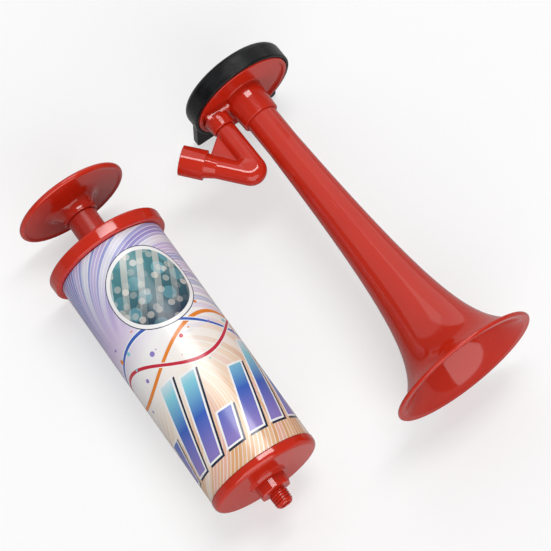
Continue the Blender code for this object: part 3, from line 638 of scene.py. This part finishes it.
def clear_film():
    """Polyester film, biaxially drawn."""
    # Clear and glossy with a faint haze of stretch marks
    tints = bpy.context.scene.horn_finishes
    material, tree, shader, spot = blank("polyester_film_clear")
    haze_width = 4.0 * MM
    haze = add(tree, "TexNoise", {"Vector": spot, "Scale": 1.0 / haze_width, "Detail": 3.0})
    tone = add(tree, "Mix", {0: haze, 6: tints.film, 7: WHITE}, data_type="RGBA")
    gloss = add(tree, "MapRange", {"Value": haze, "To Min": 0.04, "To Max": 0.16})
    fill(shader, {"Base Color": tone, "Roughness": gloss, "IOR": 1.57, "Transmission Weight": 0.9})
    return material


def lanes_of(tree, value, per_unit):
    """Cut a value into lanes: a random number for each lane, and the share of the way across it."""
    lane = add(tree, "Math", {0: value, 1: per_unit}, operation="MULTIPLY")
    index = add(tree, "Math", {0: lane}, operation="FLOOR")
    pick = add(tree, "TexWhiteNoise", {"W": index}, noise_dimensions="1D")
    return (pick, "Value"), add(tree, "Math", {0: lane}, operation="FRACT")


def scattered(tree, place, cell, randomness):
    """Scattered points: the distance to the nearest, and three random numbers for it."""
    points = add(
        tree, "TexVoronoi", {"Vector": place, "Scale": 1.0 / cell, "Randomness": randomness},
        voronoi_dimensions="2D",
    )
    return (points, "Distance"), add(tree, "SeparateColor", {0: (points, "Color")})


def seen_from(tree, across, up, centre):
    """Steps from a centre across and up, both as one vector, and its length."""
    x = add(tree, "Math", {0: across, 1: centre[0]}, operation="SUBTRACT")
    y = add(tree, "Math", {0: up, 1: centre[1]}, operation="SUBTRACT")
    both = add(tree, "CombineXYZ", {0: x, 1: y})
    return x, y, both, (add(tree, "VectorMath", {0: both}, operation="LENGTH"), "Value")


def printed_sleeve(around, along):
    """Polypropylene film, offset printed and varnished, with an abstract burst, bars and ribbons."""
    # Glossy varnish over flat inks, with slight waves where the film was rolled on
    inks = bpy.context.scene.horn_inks
    material, tree, shader, spot = blank("polypropylene_film_printed")
    axes = add(tree, "SeparateXYZ", {0: add(tree, "UVMap", uv_map="sleeve")})
    # Places on the sleeve in millimetres: across from the middle of the shown side, up from the lower edge
    across = add(tree, "Math", {0: (axes, "X"), 1: around, 2: -0.5 * around}, operation="MULTIPLY_ADD")
    up = add(tree, "Math", {0: (axes, "Y"), 1: along}, operation="MULTIPLY")
    ground_slope = -0.0035
    ground = add(tree, "Math", {0: across, 1: ground_slope, 2: (axes, "Y")}, operation="MULTIPLY_ADD")
    art = stops(add(tree, "ValToRGB", {0: ground}), [
        (0.0, inks.tan), (0.2, inks.peach), (0.38, inks.cream), (0.6, inks.white),
        (0.78, inks.lilac), (1.0, inks.periwinkle),
    ])

    # Rays fan out of one point in curved lanes, warm below it and cool above
    burst = (-16.0, 60.0)
    curl = 0.017
    from_x, from_y, _, reach = seen_from(tree, across, up, burst)
    bearing = add(tree, "Math", {0: from_y, 1: from_x}, operation="ARCTAN2")
    bearing = add(tree, "Math", {0: reach, 1: curl, 2: bearing}, operation="MULTIPLY_ADD")
    below = add(tree, "Math", {0: from_y, 1: 0.0}, operation="LESS_THAN")
    fade = add(tree, "MapRange", {"Value": reach, "From Min": 16.0, "From Max": 44.0, "To Max": 0.85})
    warm = [(0.0, inks.peach), (0.25, inks.tan), (0.5, inks.rose), (0.65, inks.cream), (0.8, inks.tan)]
    cool = [
        (0.0, inks.lilac), (0.3, inks.violet), (0.46, inks.lilac), (0.62, inks.periwinkle), (0.8, inks.white),
    ]
    for count, share, strength, inked in ((52.0, 0.72, 0.75, True), (150.0, 0.2, 0.9, False)):
        pick, within = lanes_of(tree, bearing, count / (2.0 * pi))
        shown = add(tree, "Math", {0: within, 1: share}, operation="LESS_THAN")
        for factor in (fade, strength):
            shown = add(tree, "Math", {0: shown, 1: factor}, operation="MULTIPLY")
        tint = inks.white
        if inked:
            low = stops(add(tree, "ValToRGB", {0: pick}), warm, "CONSTANT")
            high = stops(add(tree, "ValToRGB", {0: pick}), cool, "CONSTANT")
            tint = add(tree, "Mix", {0: below, 6: high, 7: low}, data_type="RGBA")
        art = add(tree, "Mix", {0: shown, 6: art, 7: tint}, data_type="RGBA")

    # Three wavy ribbons with white edges
    edge = 0.45
    for base, swing, period, shift, half, tint in (
        (57.0, 9.0, 15.0, 0.4, 0.9, inks.orange),
        (60.0, 12.0, 19.0, 2.1, 0.7, inks.blue),
        (55.0, 7.0, 11.0, 4.0, 0.8, inks.cherry),
    ):
        wave = add(tree, "Math", {0: across, 1: 1.0 / period, 2: shift}, operation="MULTIPLY_ADD")
        wave = add(tree, "Math", {0: wave}, operation="SINE")
        path = add(tree, "Math", {0: wave, 1: swing, 2: base}, operation="MULTIPLY_ADD")
        off = add(tree, "Math", {0: up, 1: path}, operation="SUBTRACT")
        off = add(tree, "Math", {0: off}, operation="ABSOLUTE")
        for width, ink in ((half + edge, inks.white), (half, tint)):
            shown = add(tree, "Math", {0: off, 1: width}, operation="LESS_THAN")
            art = add(tree, "Mix", {0: shown, 6: art, 7: ink}, data_type="RGBA")

    # Round confetti on a belt round the ribbons, with some of its cells left empty
    cell = 8.0
    belt_middle = 58.0
    belt_half = 17.0
    empty_share = 0.45
    distance, parts = scattered(tree, add(tree, "CombineXYZ", {0: across, 1: up}), cell, 0.9)
    size = add(tree, "MapRange", {"Value": (parts, 0), "To Min": 0.03, "To Max": 0.17})
    shown = add(tree, "Math", {0: distance, 1: size}, operation="LESS_THAN")
    belt = add(tree, "Math", {0: up, 1: belt_middle, 2: belt_half}, operation="COMPARE")
    some = add(tree, "Math", {0: (parts, 1), 1: empty_share}, operation="GREATER_THAN")
    for factor in (belt, some):
        shown = add(tree, "Math", {0: shown, 1: factor}, operation="MULTIPLY")
    tint = stops(add(tree, "ValToRGB", {0: (parts, 2)}), [
        (0.0, inks.orange), (0.25, inks.sky), (0.5, inks.cherry), (0.75, inks.violet),
    ], "CONSTANT")
    art = add(tree, "Mix", {0: shown, 6: art, 7: tint}, data_type="RGBA")

    # Slanted level bars, each with a white edge and a dark drop shadow
    pitch = 11.0
    half = 3.3
    foot = 10.0
    lowest_top = 24.0
    highest_top = 51.0
    slope = -0.32
    row_half = 43.5
    row_start = 56.0
    lean = add(tree, "Math", {0: up, 1: slope, 2: across}, operation="MULTIPLY_ADD")
    row = add(tree, "Math", {0: lean, 1: 0.0, 2: row_half}, operation="COMPARE")
    rise = add(tree, "MapRange", {"Value": up, "From Min": 12.0, "From Max": 52.0})
    rise = stops(add(tree, "ValToRGB", {0: rise}), [
        (0.0, inks.violet), (0.4, inks.blue), (0.75, inks.sky), (1.0, inks.white),
    ])
    for shift, grow, ink in ((0.9, 1.0, inks.navy), (0.0, 0.9, inks.white), (0.0, 0.0, rise)):
        start = add(tree, "Math", {0: lean, 1: row_start - shift}, operation="ADD")
        pick, within = lanes_of(tree, start, 1.0 / pitch)
        shown = add(tree, "Math", {0: within, 1: 0.5, 2: (half + grow) / pitch}, operation="COMPARE")
        top = add(
            tree, "MapRange",
            {"Value": pick, "To Min": lowest_top + grow - shift, "To Max": highest_top + grow - shift},
        )
        under = add(tree, "Math", {0: up, 1: top}, operation="LESS_THAN")
        over = add(tree, "Math", {0: up, 1: foot - grow - shift}, operation="GREATER_THAN")
        for factor in (under, over, row):
            shown = add(tree, "Math", {0: shown, 1: factor}, operation="MULTIPLY")
        art = add(tree, "Mix", {0: shown, 6: art, 7: ink}, data_type="RGBA")

    # Round badge with soft lights and slanted beams
    middle = (6.0, 86.0)
    badge_x, badge_y, badge, away = seen_from(tree, across, up, middle)
    glow = add(tree, "MapRange", {"Value": badge_y, "From Min": -17.0, "From Max": 17.0})
    night = add(tree, "Mix", {0: glow, 6: inks.navy, 7: inks.teal}, data_type="RGBA")
    for cell, limit, ink, strength in ((9.0, 0.34, inks.sky, 0.5), (5.0, 0.3, inks.cream, 0.55)):
        distance, parts = scattered(tree, badge, cell, 1.0)
        lit = add(tree, "Math", {0: distance, 1: limit}, operation="LESS_THAN")
        for factor in ((parts, 0), strength):
            lit = add(tree, "Math", {0: lit, 1: factor}, operation="MULTIPLY")
        night = add(tree, "Mix", {0: lit, 6: night, 7: ink}, data_type="RGBA")
    beam_pitch = 8.0
    beam_slope = -0.55
    beam_half = 0.2
    beam_strength = 0.55
    beam = add(tree, "Math", {0: badge_y, 1: beam_slope, 2: badge_x}, operation="MULTIPLY_ADD")
    beam = add(tree, "Math", {0: beam, 1: 1.0 / beam_pitch}, operation="MULTIPLY")
    beam = add(tree, "Math", {0: beam}, operation="FRACT")
    beam = add(tree, "Math", {0: beam, 1: 0.5, 2: beam_half}, operation="COMPARE")
    for factor in (glow, beam_strength):
        beam = add(tree, "Math", {0: beam, 1: factor}, operation="MULTIPLY")
    night = add(tree, "Mix", {0: beam, 6: night, 7: inks.cream}, data_type="RGBA")
    for radius, ink in ((19.3, inks.navy), (18.9, inks.white), (17.2, night)):
        shown = add(tree, "Math", {0: away, 1: radius}, operation="LESS_THAN")
        art = add(tree, "Mix", {0: shown, 6: art, 7: ink}, data_type="RGBA")

    wave_width = 14.0 * MM
    waves = add(tree, "TexNoise", {"Vector": spot, "Scale": 1.0 / wave_width, "Detail": 2.0})
    gloss = add(tree, "MapRange", {"Value": waves, "To Min": 0.16, "To Max": 0.3})
    roll = add(tree, "Bump", {"Height": waves, "Strength": 0.3, "Distance": 0.12 * MM})
    fill(shader, {"Base Color": art, "Roughness": gloss, "Normal": roll, "IOR": 1.5})
    return material


# Pieces


class AIRHORN_OT_barrel(bpy.types.Operator):
    """Make the red barrel with its base, hexagon and threaded outlet"""

    bl_idname = "airhorn.barrel"
    bl_label = "Barrel and Outlet"

    def execute(self, context):
        size = context.scene.horn_pump
        bore = size.barrel_radius - size.barrel_wall
        base = -(size.band_height + size.base_corner)
        floor = base + size.base_wall
        boss_foot = base - size.base_crown
        boss_top = boss_foot - size.boss_height
        hexagon_top = boss_top - size.hexagon_height
        tube = spun([
            (0.0, floor), (bore, floor, 1.8 * MM), (bore, size.barrel_top, EDGE),
            (size.barrel_radius, size.barrel_top, EDGE), (size.barrel_radius, -GAP),
            (size.band_radius, -GAP, EDGE), (size.band_radius - size.band_draft, base, size.base_corner),
            (size.boss_foot, boss_foot, 0.5 * MM), (size.boss_top, boss_top, 0.35 * MM), (0.0, boss_top),
        ], PUMP, 192, 9)
        corner = size.hexagon_flats / sqrt(3.0)
        narrow = corner - size.hexagon_draft
        sunk = boss_top + 0.4 * MM
        chamfer = 0.35 * MM
        hexagon = turned([
            (0.0, sunk), (corner, sunk), (narrow, hexagon_top + chamfer),
            (narrow - chamfer, hexagon_top), (0.0, hexagon_top),
        ], PUMP @ Matrix.Rotation(size.hexagon_turn, 4, "Z"), 6)
        shape = bmesh.new()
        shape.from_mesh(hexagon)
        axis = PUMP.to_3x3() @ UP
        ridges = [e for e in shape.edges if lies_along(e, axis) and e.calc_length() > MM]
        bmesh.ops.bevel(shape, geom=ridges, offset=size.ridge_cut, segments=1, affect="EDGES")
        outward = Matrix.Translation((0.0, 0.0, hexagon_top)) @ Matrix.Rotation(pi, 4, "X")
        outlet = threaded(
            PUMP @ outward, size.outlet_length, (size.outlet_radius, size.outlet_tip), size.thread_depth,
            size.thread_pitch, size.outlet_chamfer, MM,
        )
        tip = hexagon_top - size.outlet_length
        flare = 0.4 * MM
        hole = turned([
            (0.0, floor + MM), (size.outlet_bore, floor + MM), (size.outlet_bore, tip + flare),
            (size.outlet_bore + 2.0 * flare, tip - flare), (0.0, tip - flare),
        ], PUMP, 64)
        mesh = shaped(tube, [("UNION", as_mesh(shape)), ("UNION", outlet), ("DIFFERENCE", hole)])
        dress("barrel_and_outlet", mesh, "pump_barrel", moulded_polypropylene(), 24.0)
        return {"FINISHED"}


class AIRHORN_OT_label(bpy.types.Operator):
    """Roll the printed film round the barrel, lapped at the underside"""

    bl_idname = "airhorn.label"
    bl_label = "Printed Sleeve"

    def execute(self, context):
        size = context.scene.horn_pump
        film = size.label_film
        inner = size.barrel_radius + GAP
        lap = size.label_lap / inner
        steps = 240
        rows = 28
        # The last stretch climbs over the first by the film's thickness
        climb_start = 2.0 * pi - 0.1
        climb_run = 0.08
        lift = film + 0.005 * MM
        # Each ring goes up the outer skin and down the inner one
        skins = [(film, row / rows) for row in range(rows + 1)]
        skins += [(0.0, share) for skin, share in reversed(skins)]
        shape = bmesh.new()
        chart = shape.loops.layers.uv.new("sleeve")
        rings = []
        for i in range(steps + 1):
            turn = (2.0 * pi + lap) * i / steps
            bearing = 0.5 * pi - 0.5 * lap + turn
            reach = inner + lift * clamp((turn - climb_start) / climb_run)
            ring = []
            for skin, share in skins:
                radius = reach + skin
                spot = Vector((radius * cos(bearing), radius * sin(bearing), size.label_length * share))
                ring.append((shape.verts.new(PUMP @ spot), (turn / (2.0 * pi), share)))
            rings.append(ring)

        def face(*corners):
            made = shape.faces.new([vert for vert, uv in corners])
            for loop, (vert, uv) in zip(made.loops, corners):
                loop[chart].uv = uv

        for here, there in zip(rings, rings[1:]):
            for j in range(len(skins)):
                face(here[j - 1], there[j - 1], there[j], here[j])
        first, last = rings[0], rings[-1]
        for row in range(rows):
            face(first[-1 - row], first[row], first[row + 1], first[-2 - row])
            face(last[-1 - row], last[-2 - row], last[row + 1], last[row])
        mesh = bpy.data.meshes.new("printed_sleeve")
        shape.to_mesh(mesh)
        shape.free()
        art = printed_sleeve(2.0 * pi * inner / MM, size.label_length / MM)
        dress("printed_sleeve", mesh, "barrel_label", art)
        return {"FINISHED"}


class AIRHORN_OT_top_cap(bpy.types.Operator):
    """Make the flanged cap that closes the barrel and guides the rod"""

    bl_idname = "airhorn.top_cap"
    bl_label = "Top Cap"

    def execute(self, context):
        size = context.scene.horn_pump
        foot = size.cap_foot
        top = foot + size.cap_height
        skirt = size.barrel_radius + size.slide_gap
        hole = size.rod_radius + size.slide_gap
        guide = hole + size.guide_wall
        plate = top - size.cap_plate
        mesh = spun([
            (hole, top, 0.5 * MM), (size.cap_radius, top, size.cap_edge),
            (size.cap_radius - size.draft, foot, size.cap_edge), (skirt, foot, EDGE),
            (skirt, plate, 0.4 * MM), (guide, plate, 0.8 * MM), (guide, size.guide_end, 0.4 * MM),
            (hole, size.guide_end, EDGE),
        ], PUMP, 192, 7, closed=True)
        dress("flanged_top_cap", mesh, "top_cap", moulded_polypropylene())
        return {"FINISHED"}


class AIRHORN_OT_plunger(bpy.types.Operator):
    """Make the rod and the mushroom handle"""

    bl_idname = "airhorn.plunger"
    bl_label = "Rod and Handle"

    def execute(self, context):
        size = context.scene.horn_pump
        inner = size.rod_radius - size.rod_wall
        rod = spun([
            (size.rod_radius, size.rod_top, EDGE), (size.rod_radius, size.rod_foot, EDGE),
            (inner, size.rod_foot, EDGE), (inner, size.rod_top, EDGE),
        ], PUMP, 96, closed=True)
        # The guide rubs the rod's skin dull
        rubbed = moulded_polypropylene("rubbed", 0.24, 0.32)
        dress("plunger_rod", rod, "pump_rod", rubbed)
        half = 0.5 * size.handle_rim
        rim = size.hub_end + size.handle_depth
        rim_centre = size.handle_radius - half
        underside = rim - half + size.handle_recess
        bead_end = degrees(asin((rim - underside) / half)) - 180.0
        profile = []
        dome_steps = 24
        for i in range(dome_steps):
            share = i / dome_steps
            profile.append((rim_centre * share, rim + half + size.handle_dome * (1.0 - share * share)))
        profile += arc((rim_centre, rim), half, 90.0, bead_end, 22)
        # A small hollow runs into the bead, then the flat underside and the fillet down to the hub
        edge = profile[-1][0]
        fillet = size.hub_radius + size.hub_fillet
        for across, sunk in ((edge - 0.5 * MM, 0.12), (edge - MM, 0.14), (fillet + 2.0 * MM, 0.05)):
            profile.append((across, underside + sunk * MM))
        profile += arc((fillet, underside - size.hub_fillet), size.hub_fillet, 90.0, 180.0, 14)
        socket = size.rod_radius + size.slide_gap
        socket_end = size.hub_end + size.hub_socket
        profile += rounded([
            (size.hub_radius, size.hub_end + 0.8 * MM), (size.hub_radius, size.hub_end, 0.45 * MM),
            *gripping(size.rod_radius, socket, size.hub_end), (socket, socket_end, EDGE), (0.0, socket_end),
        ])
        handle = turned(profile, PUMP, 192)
        dress("mushroom_handle", handle, "push_handle", moulded_polypropylene())
        return {"FINISHED"}


class AIRHORN_OT_piston(bpy.types.Operator):
    """Finish the piston, its ring and its screw inside the barrel"""

    bl_idname = "airhorn.piston"
    bl_label = "Piston"

    def execute(self, context):
        paint(["piston_head"], moulded_polypropylene())
        paint(["piston_ring"], seal_rubber())
        paint(["piston_washer", "piston_screw"], plated_steel())
        return {"FINISHED"}


class AIRHORN_OT_bell(bpy.types.Operator):
    """Make the flared bell with its rolled lip"""

    bl_idname = "airhorn.bell"
    bl_label = "Bell"

    def execute(self, context):
        size = context.scene.horn_sizes
        lip = size.bell_lip
        wall = size.bell_wall
        start = 1.6 * lip
        inner_end = 0.35 * lip
        rings = 72
        # The rings crowd towards the mouth, where the curve is tight
        crowding = 1.8
        outer = []
        inner = []
        for i in range(rings + 1):
            depth = start + (size.neck_start - start) * (1.0 - i / rings) ** crowding
            opened = size.flare_length + depth
            radius = size.bell_radius * (size.flare_length / opened) ** size.flare_power
            slope = radius * size.flare_power / opened
            run = sqrt(1.0 + slope * slope)
            outer.append((radius, depth))
            inner_depth = depth - wall * slope / run
            if inner_depth > inner_end:
                inner.append((radius - wall / run, inner_depth))
        shoulder = size.neck_start + size.neck_shoulder
        bore = size.neck_radius - wall
        profile = rounded([
            (bore, size.head_back, 0.2 * MM), (size.neck_radius, size.head_back, 0.2 * MM),
            (size.neck_radius, shoulder),
        ], 3)[4:]
        profile += outer
        profile += arc((size.bell_radius - lip, lip), lip, 70.0, -110.0, 20)
        profile += reversed(inner)
        profile += [(bore, shoulder), (bore, size.head_back)]
        mesh = turned(profile, HORN, 224, closed=True)
        dress("flared_bell", mesh, "horn_bell", moulded_polypropylene(), 40.0)
        return {"FINISHED"}


class AIRHORN_OT_head(bpy.types.Operator):
    """Make the red head with its raised ring, collar, inlet block and boss"""

    bl_idname = "airhorn.head"
    bl_label = "Head"

    def execute(self, context):
        size = context.scene.horn_sizes
        face = size.head_face
        bore = size.neck_radius + GAP
        ring_inner = size.head_radius - size.head_rim_width
        front = face - size.head_rim_rise
        chamber = face + 2.0 * MM
        wall_inner = size.head_radius - size.head_wall
        cup = spun([
            (size.head_radius, size.head_back), (size.head_radius, front, 0.45 * MM),
            (ring_inner, front, 0.4 * MM), (ring_inner - 0.35 * MM, face, 0.45 * MM),
            (size.collar_foot_radius + size.collar_swell, face, 0.7 * MM),
            (size.collar_waist_radius, face - size.collar_waist, 1.5 * MM),
            (size.collar_end_radius, size.collar_end, 0.5 * MM),
            *gripping(size.neck_radius, bore, size.collar_end),
            (bore, chamber), (wall_inner, chamber), (wall_inner, size.head_back),
        ], HORN, 192, closed=True)
        inner_side = 0.5 * (bore + size.collar_end_radius)
        seat = block(
            (-size.block_outer, -size.block_half, size.block_face), (-inner_side, size.block_half, face + MM),
            0.45 * MM, HORN, draft=size.block_draft,
        )
        inlet = HORN @ Matrix.Translation((-size.inlet_offset, 0.0, 0.0))
        foot = size.block_face + MM
        boss = spun([
            (0.0, foot), (size.boss_radius + size.boss_draft, foot),
            (size.boss_radius, size.boss_end, 0.55 * MM), (0.0, size.boss_end),
        ], inlet, 96)
        plug = 4.0 * MM
        hole = turned([
            (0.0, size.head_back), (size.inlet_bore, size.head_back),
            (size.inlet_bore, size.boss_end + plug), (plug, size.boss_end + plug),
            (plug, size.boss_end - MM), (0.0, size.boss_end - MM),
        ], inlet, 64)
        mesh = shaped(cup, [("UNION", seat), ("UNION", boss), ("DIFFERENCE", hole)])
        dress("horn_head_cup", mesh, "horn_head", moulded_polypropylene(), 30.0)
        return {"FINISHED"}


class AIRHORN_OT_elbow(bpy.types.Operator):
    """Make the V-shaped elbow with its web and threaded socket"""

    bl_idname = "airhorn.elbow"
    bl_label = "Inlet Elbow"

    def execute(self, context):
        size = context.scene.horn_sizes
        pump = context.scene.horn_pump
        turn = size.return_angle
        radius = size.leg_radius
        back = Vector((-sin(turn), 0.0, cos(turn)))
        outward = Vector((-cos(turn), 0.0, -sin(turn)))
        foot = Vector((-size.inlet_offset, 0.0, size.boss_end - size.leg_length))
        bend = foot + Vector((-size.bend_radius, 0.0, 0.0))
        start = bend + size.bend_radius * outward
        mouth = start + size.return_length * back
        step = mouth - size.socket_length * back
        seam = 0.08 * MM
        leg_run = size.leg_length - seam
        back_run = size.return_length - size.socket_length + MM

        def rod(where, direction, run, across, corner):
            profile = [(0.0, run), (across, run, corner), (across, 0.0), (0.0, 0.0)]
            return spun(profile, toward(where, direction), 96)

        leg = rod(foot, UP, leg_run, radius, 0.35 * MM)
        returning = rod(start, back, back_run, radius, EDGE)
        # The bend is filled on its inner side, so the knee is a flat puck with a round edge
        knee = turned(
            [(0.0, radius), *arc((size.bend_radius, 0.0), radius, 90.0, -90.0, 24), (0.0, -radius)],
            HORN @ Matrix.Translation(bend) @ Matrix.Rotation(0.5 * pi, 4, "X"), 96,
        )
        high = foot + (leg_run - size.web_setback) * UP
        low = step - size.web_setback * back
        corners = [bend, high, high + Vector((-radius, 0.0, 0.0)), low - radius * outward, low]
        half = Vector((0.0, 0.5 * size.web_thickness, 0.0))
        shape = bmesh.new()
        layer = [[shape.verts.new(c + side * half) for c in corners] for side in (-1.0, 1.0)]
        shape.faces.new(layer[0])
        shape.faces.new(list(reversed(layer[1])))
        for i in range(len(corners)):
            j = (i + 1) % len(corners)
            shape.faces.new((layer[0][i], layer[1][i], layer[1][j], layer[0][j]))
        bmesh.ops.transform(shape, matrix=HORN, verts=shape.verts)
        sleeve = spun([
            (0.0, size.socket_length), (size.socket_radius, size.socket_length, 0.35 * MM),
            (size.socket_radius, 0.0, EDGE), (size.socket_radius - size.socket_step, 0.0),
            (radius, -size.socket_cone), (0.0, -size.socket_cone),
        ], toward(step, back), 128)
        plug = rod(foot + (leg_run - MM) * UP, UP, size.plug_length, size.plug_radius, EDGE)
        past_plug = 8.0 * MM
        hole_edge = 0.1 * MM
        leg_hole = rod(foot, UP, size.leg_length + past_plug, size.inlet_bore, hole_edge)
        back_hole = rod(start, back, back_run + size.socket_floor, size.inlet_bore, hole_edge)
        depth = size.socket_length - size.socket_floor
        tooth = 0.45 * MM
        flare = 1.4 * MM
        tapped = threaded(
            toward(mouth - depth * back, back), depth + MM, (size.socket_bore, size.socket_bore),
            tooth, pump.thread_pitch, flare, flare=True, steps=96,
        )
        voxel = 0.2 * MM
        mesh = shaped(leg, [
            ("UNION", returning), ("UNION", knee), ("UNION", as_mesh(shape)),
            ("REMESH", {"mode": "VOXEL", "voxel_size": voxel}),
            ("SMOOTH", {"factor": 0.5, "iterations": 60}),
            ("UNION", sleeve), ("UNION", plug),
            ("DIFFERENCE", leg_hole), ("DIFFERENCE", back_hole), ("DIFFERENCE", tapped),
        ])
        dress("webbed_elbow", mesh, "inlet_elbow", moulded_polypropylene(), 40.0)
        return {"FINISHED"}


class AIRHORN_OT_membrane(bpy.types.Operator):
    """Finish the membrane and the ring that holds it"""

    bl_idname = "airhorn.membrane"
    bl_label = "Membrane"

    def execute(self, context):
        paint(["membrane"], clear_film())
        paint(["membrane_ring"], satin_plastic())
        return {"FINISHED"}


class AIRHORN_OT_end_cap(bpy.types.Operator):
    """Make the black cap with its flat foot"""

    bl_idname = "airhorn.end_cap"
    bl_label = "End Cap"

    def execute(self, context):
        size = context.scene.horn_sizes
        front = size.cap_front
        shell = spun([
            (0.0, size.cap_back), (size.cap_radius, size.cap_back, 3.0 * MM),
            (size.cap_radius, front, 0.6 * MM), (0.0, front),
        ], HORN, 192, 10)
        foot = block(
            (-size.foot_half, 0.0, size.foot_back - size.foot_thickness),
            (size.foot_half, size.foot_reach, size.foot_back), size.foot_corner, HORN, UP, 8,
        )
        hollow = spun([
            (0.0, size.cap_floor), (size.cap_bore, size.cap_floor, EDGE), (size.cap_bore, front + EDGE),
            (size.cap_bore + EDGE, front - EDGE), (0.0, front - EDGE),
        ], HORN, 192, 4)
        mesh = shaped(shell, [("UNION", foot), ("DIFFERENCE", hollow)])
        dress("black_end_cap", mesh, "end_cap", satin_plastic(), 30.0)
        return {"FINISHED"}


class AIRHORN_OT_stage(bpy.types.Operator):
    """Lay the pale floor and set the soft lights and the camera"""

    bl_idname = "airhorn.stage"
    bl_label = "Stage"

    def execute(self, context):
        scene = context.scene
        stage = scene.horn_stage
        shape = bmesh.new()
        bmesh.ops.create_grid(shape, x_segments=1, y_segments=1, size=stage.floor_half)
        floor = put("floor", as_mesh(shape))
        # Matt painted board: even and pale, lifted towards white for the eye while its shadows stay
        material, tree, shader, spot = blank("board_painted_matt")
        grain_width = 3.0 * MM
        grain = add(tree, "TexNoise", {"Vector": spot, "Scale": 1.0 / grain_width, "Detail": 2.0})
        grain = add(tree, "MapRange", {"Value": grain, "To Min": 0.97, "To Max": 1.0})
        painted = {0: 1.0, 6: stage.floor, 7: grain}
        tone = add(tree, "Mix", painted, data_type="RGBA", blend_type="MULTIPLY")
        matt = add(tree, "BsdfDiffuse", {"Color": tone})
        ray = add(tree, "LightPath")
        to_eye = {0: (ray, "Is Camera Ray"), 1: (ray, "Is Transmission Ray")}
        direct = add(tree, "Math", to_eye, operation="MAXIMUM")
        shown = add(tree, "Math", {0: direct, 1: stage.floor_lift}, operation="MULTIPLY")
        mirrored = {0: (ray, "Is Glossy Ray"), 1: stage.floor_mirrored, 2: shown}
        lift = add(tree, "Math", mirrored, operation="MULTIPLY_ADD")
        glow = add(tree, "Emission", {"Strength": lift})
        fill(tree.nodes["Material Output"], {"Surface": add(tree, "AddShader", {0: matt, 1: glow})})
        tree.nodes.remove(shader)
        floor.data.materials.append(material)

        world = bpy.data.worlds.new("studio")
        world.use_nodes = True
        scene.world = world
        tree = world.node_tree
        ray = add(tree, "LightPath")
        to_eye = {0: (ray, "Is Camera Ray"), 1: (ray, "Is Transmission Ray")}
        direct = add(tree, "Math", to_eye, operation="MAXIMUM")
        mirrored = {0: (ray, "Is Glossy Ray"), 2: stage.sky_level, 3: stage.sky_mirrored}
        dim = add(tree, "Mix", mirrored, data_type="FLOAT")
        sky = add(tree, "Math", {0: direct, 1: dim}, operation="MAXIMUM")
        fill(tree.nodes["Background"], {"Strength": sky, "Color": WHITE})

        # Each lamp: power, distance, turns about X, Y and Z from straight above in degrees, and two sides
        for name, watts, distance, turns, across, deep in (
            ("key_softbox", stage.key_power, 2.5, (-9.8, 12.0, 0.0), 1.5, 0.45),
            ("side_panel", stage.side_power, 3.1, (-42.0, 50.6, 0.0), 4.1, 2.4),
            ("ceiling_panel", stage.ceiling_power, 3.0, (-42.0, -20.0, 0.0), 4.2, 2.4),
            ("front_panel", stage.front_power, 3.0, (64.0, 0.0, -16.0), 3.75, 3.0),
        ):
            lamp = bpy.data.lights.new(name, "AREA")
            lamp.shape = "RECTANGLE"
            lamp.size = across
            lamp.size_y = deep
            lamp.energy = watts
            holder = put(name, lamp)
            holder.rotation_euler = [radians(turn) for turn in turns]
            holder.location = holder.rotation_euler.to_matrix() @ (distance * UP)

        level = cos(stage.elevation)
        aim = Vector((sin(stage.azimuth) * level, -cos(stage.azimuth) * level, sin(stage.elevation)))
        lens = bpy.data.cameras.new("camera")
        lens.angle = stage.view_angle
        lens.clip_end = 30.0
        camera = put("camera", lens)
        camera.location = Vector(stage.target) + stage.distance * aim
        camera.rotation_euler = (-aim).to_track_quat("-Z", "Y").to_euler()
        scene.camera = camera
        scene.view_settings.view_transform = "Standard"
        return {"FINISHED"}


STEPS = (
    AIRHORN_OT_stage, AIRHORN_OT_barrel, AIRHORN_OT_label, AIRHORN_OT_top_cap, AIRHORN_OT_plunger,
    AIRHORN_OT_piston, AIRHORN_OT_bell, AIRHORN_OT_head, AIRHORN_OT_elbow, AIRHORN_OT_membrane,
    AIRHORN_OT_end_cap,
)


class AIRHORN_PT_sidebar(bpy.types.Panel):
    """Lists the steps that make the air horn"""

    bl_label = "Hand Pump Air Horn"
    bl_idname = "AIRHORN_PT_sidebar"
    bl_space_type = "VIEW_3D"
    bl_region_type = "UI"
    bl_category = "Air Horn"

    def draw(self, context):
        for step in STEPS:
            self.layout.operator(step.bl_idname)


GROUPS = {
    "horn_pump": PumpSizes, "horn_sizes": HornSizes, "horn_finishes": Finishes,
    "horn_inks": LabelInks, "horn_stage": StageSetup,
}
CLASSES = (*GROUPS.values(), *STEPS, AIRHORN_PT_sidebar)


def register():
    for each in CLASSES:
        bpy.utils.register_class(each)
    for name, group in GROUPS.items():
        setattr(bpy.types.Scene, name, PointerProperty(type=group))


def unregister():
    for name in GROUPS:
        delattr(bpy.types.Scene, name)
    for each in reversed(CLASSES):
        bpy.utils.unregister_class(each)


def main():
    register()
    for step in STEPS:
        family, name = step.bl_idname.split(".")
        getattr(getattr(bpy.ops, family), name)()


if __name__ == "__main__":
    main()
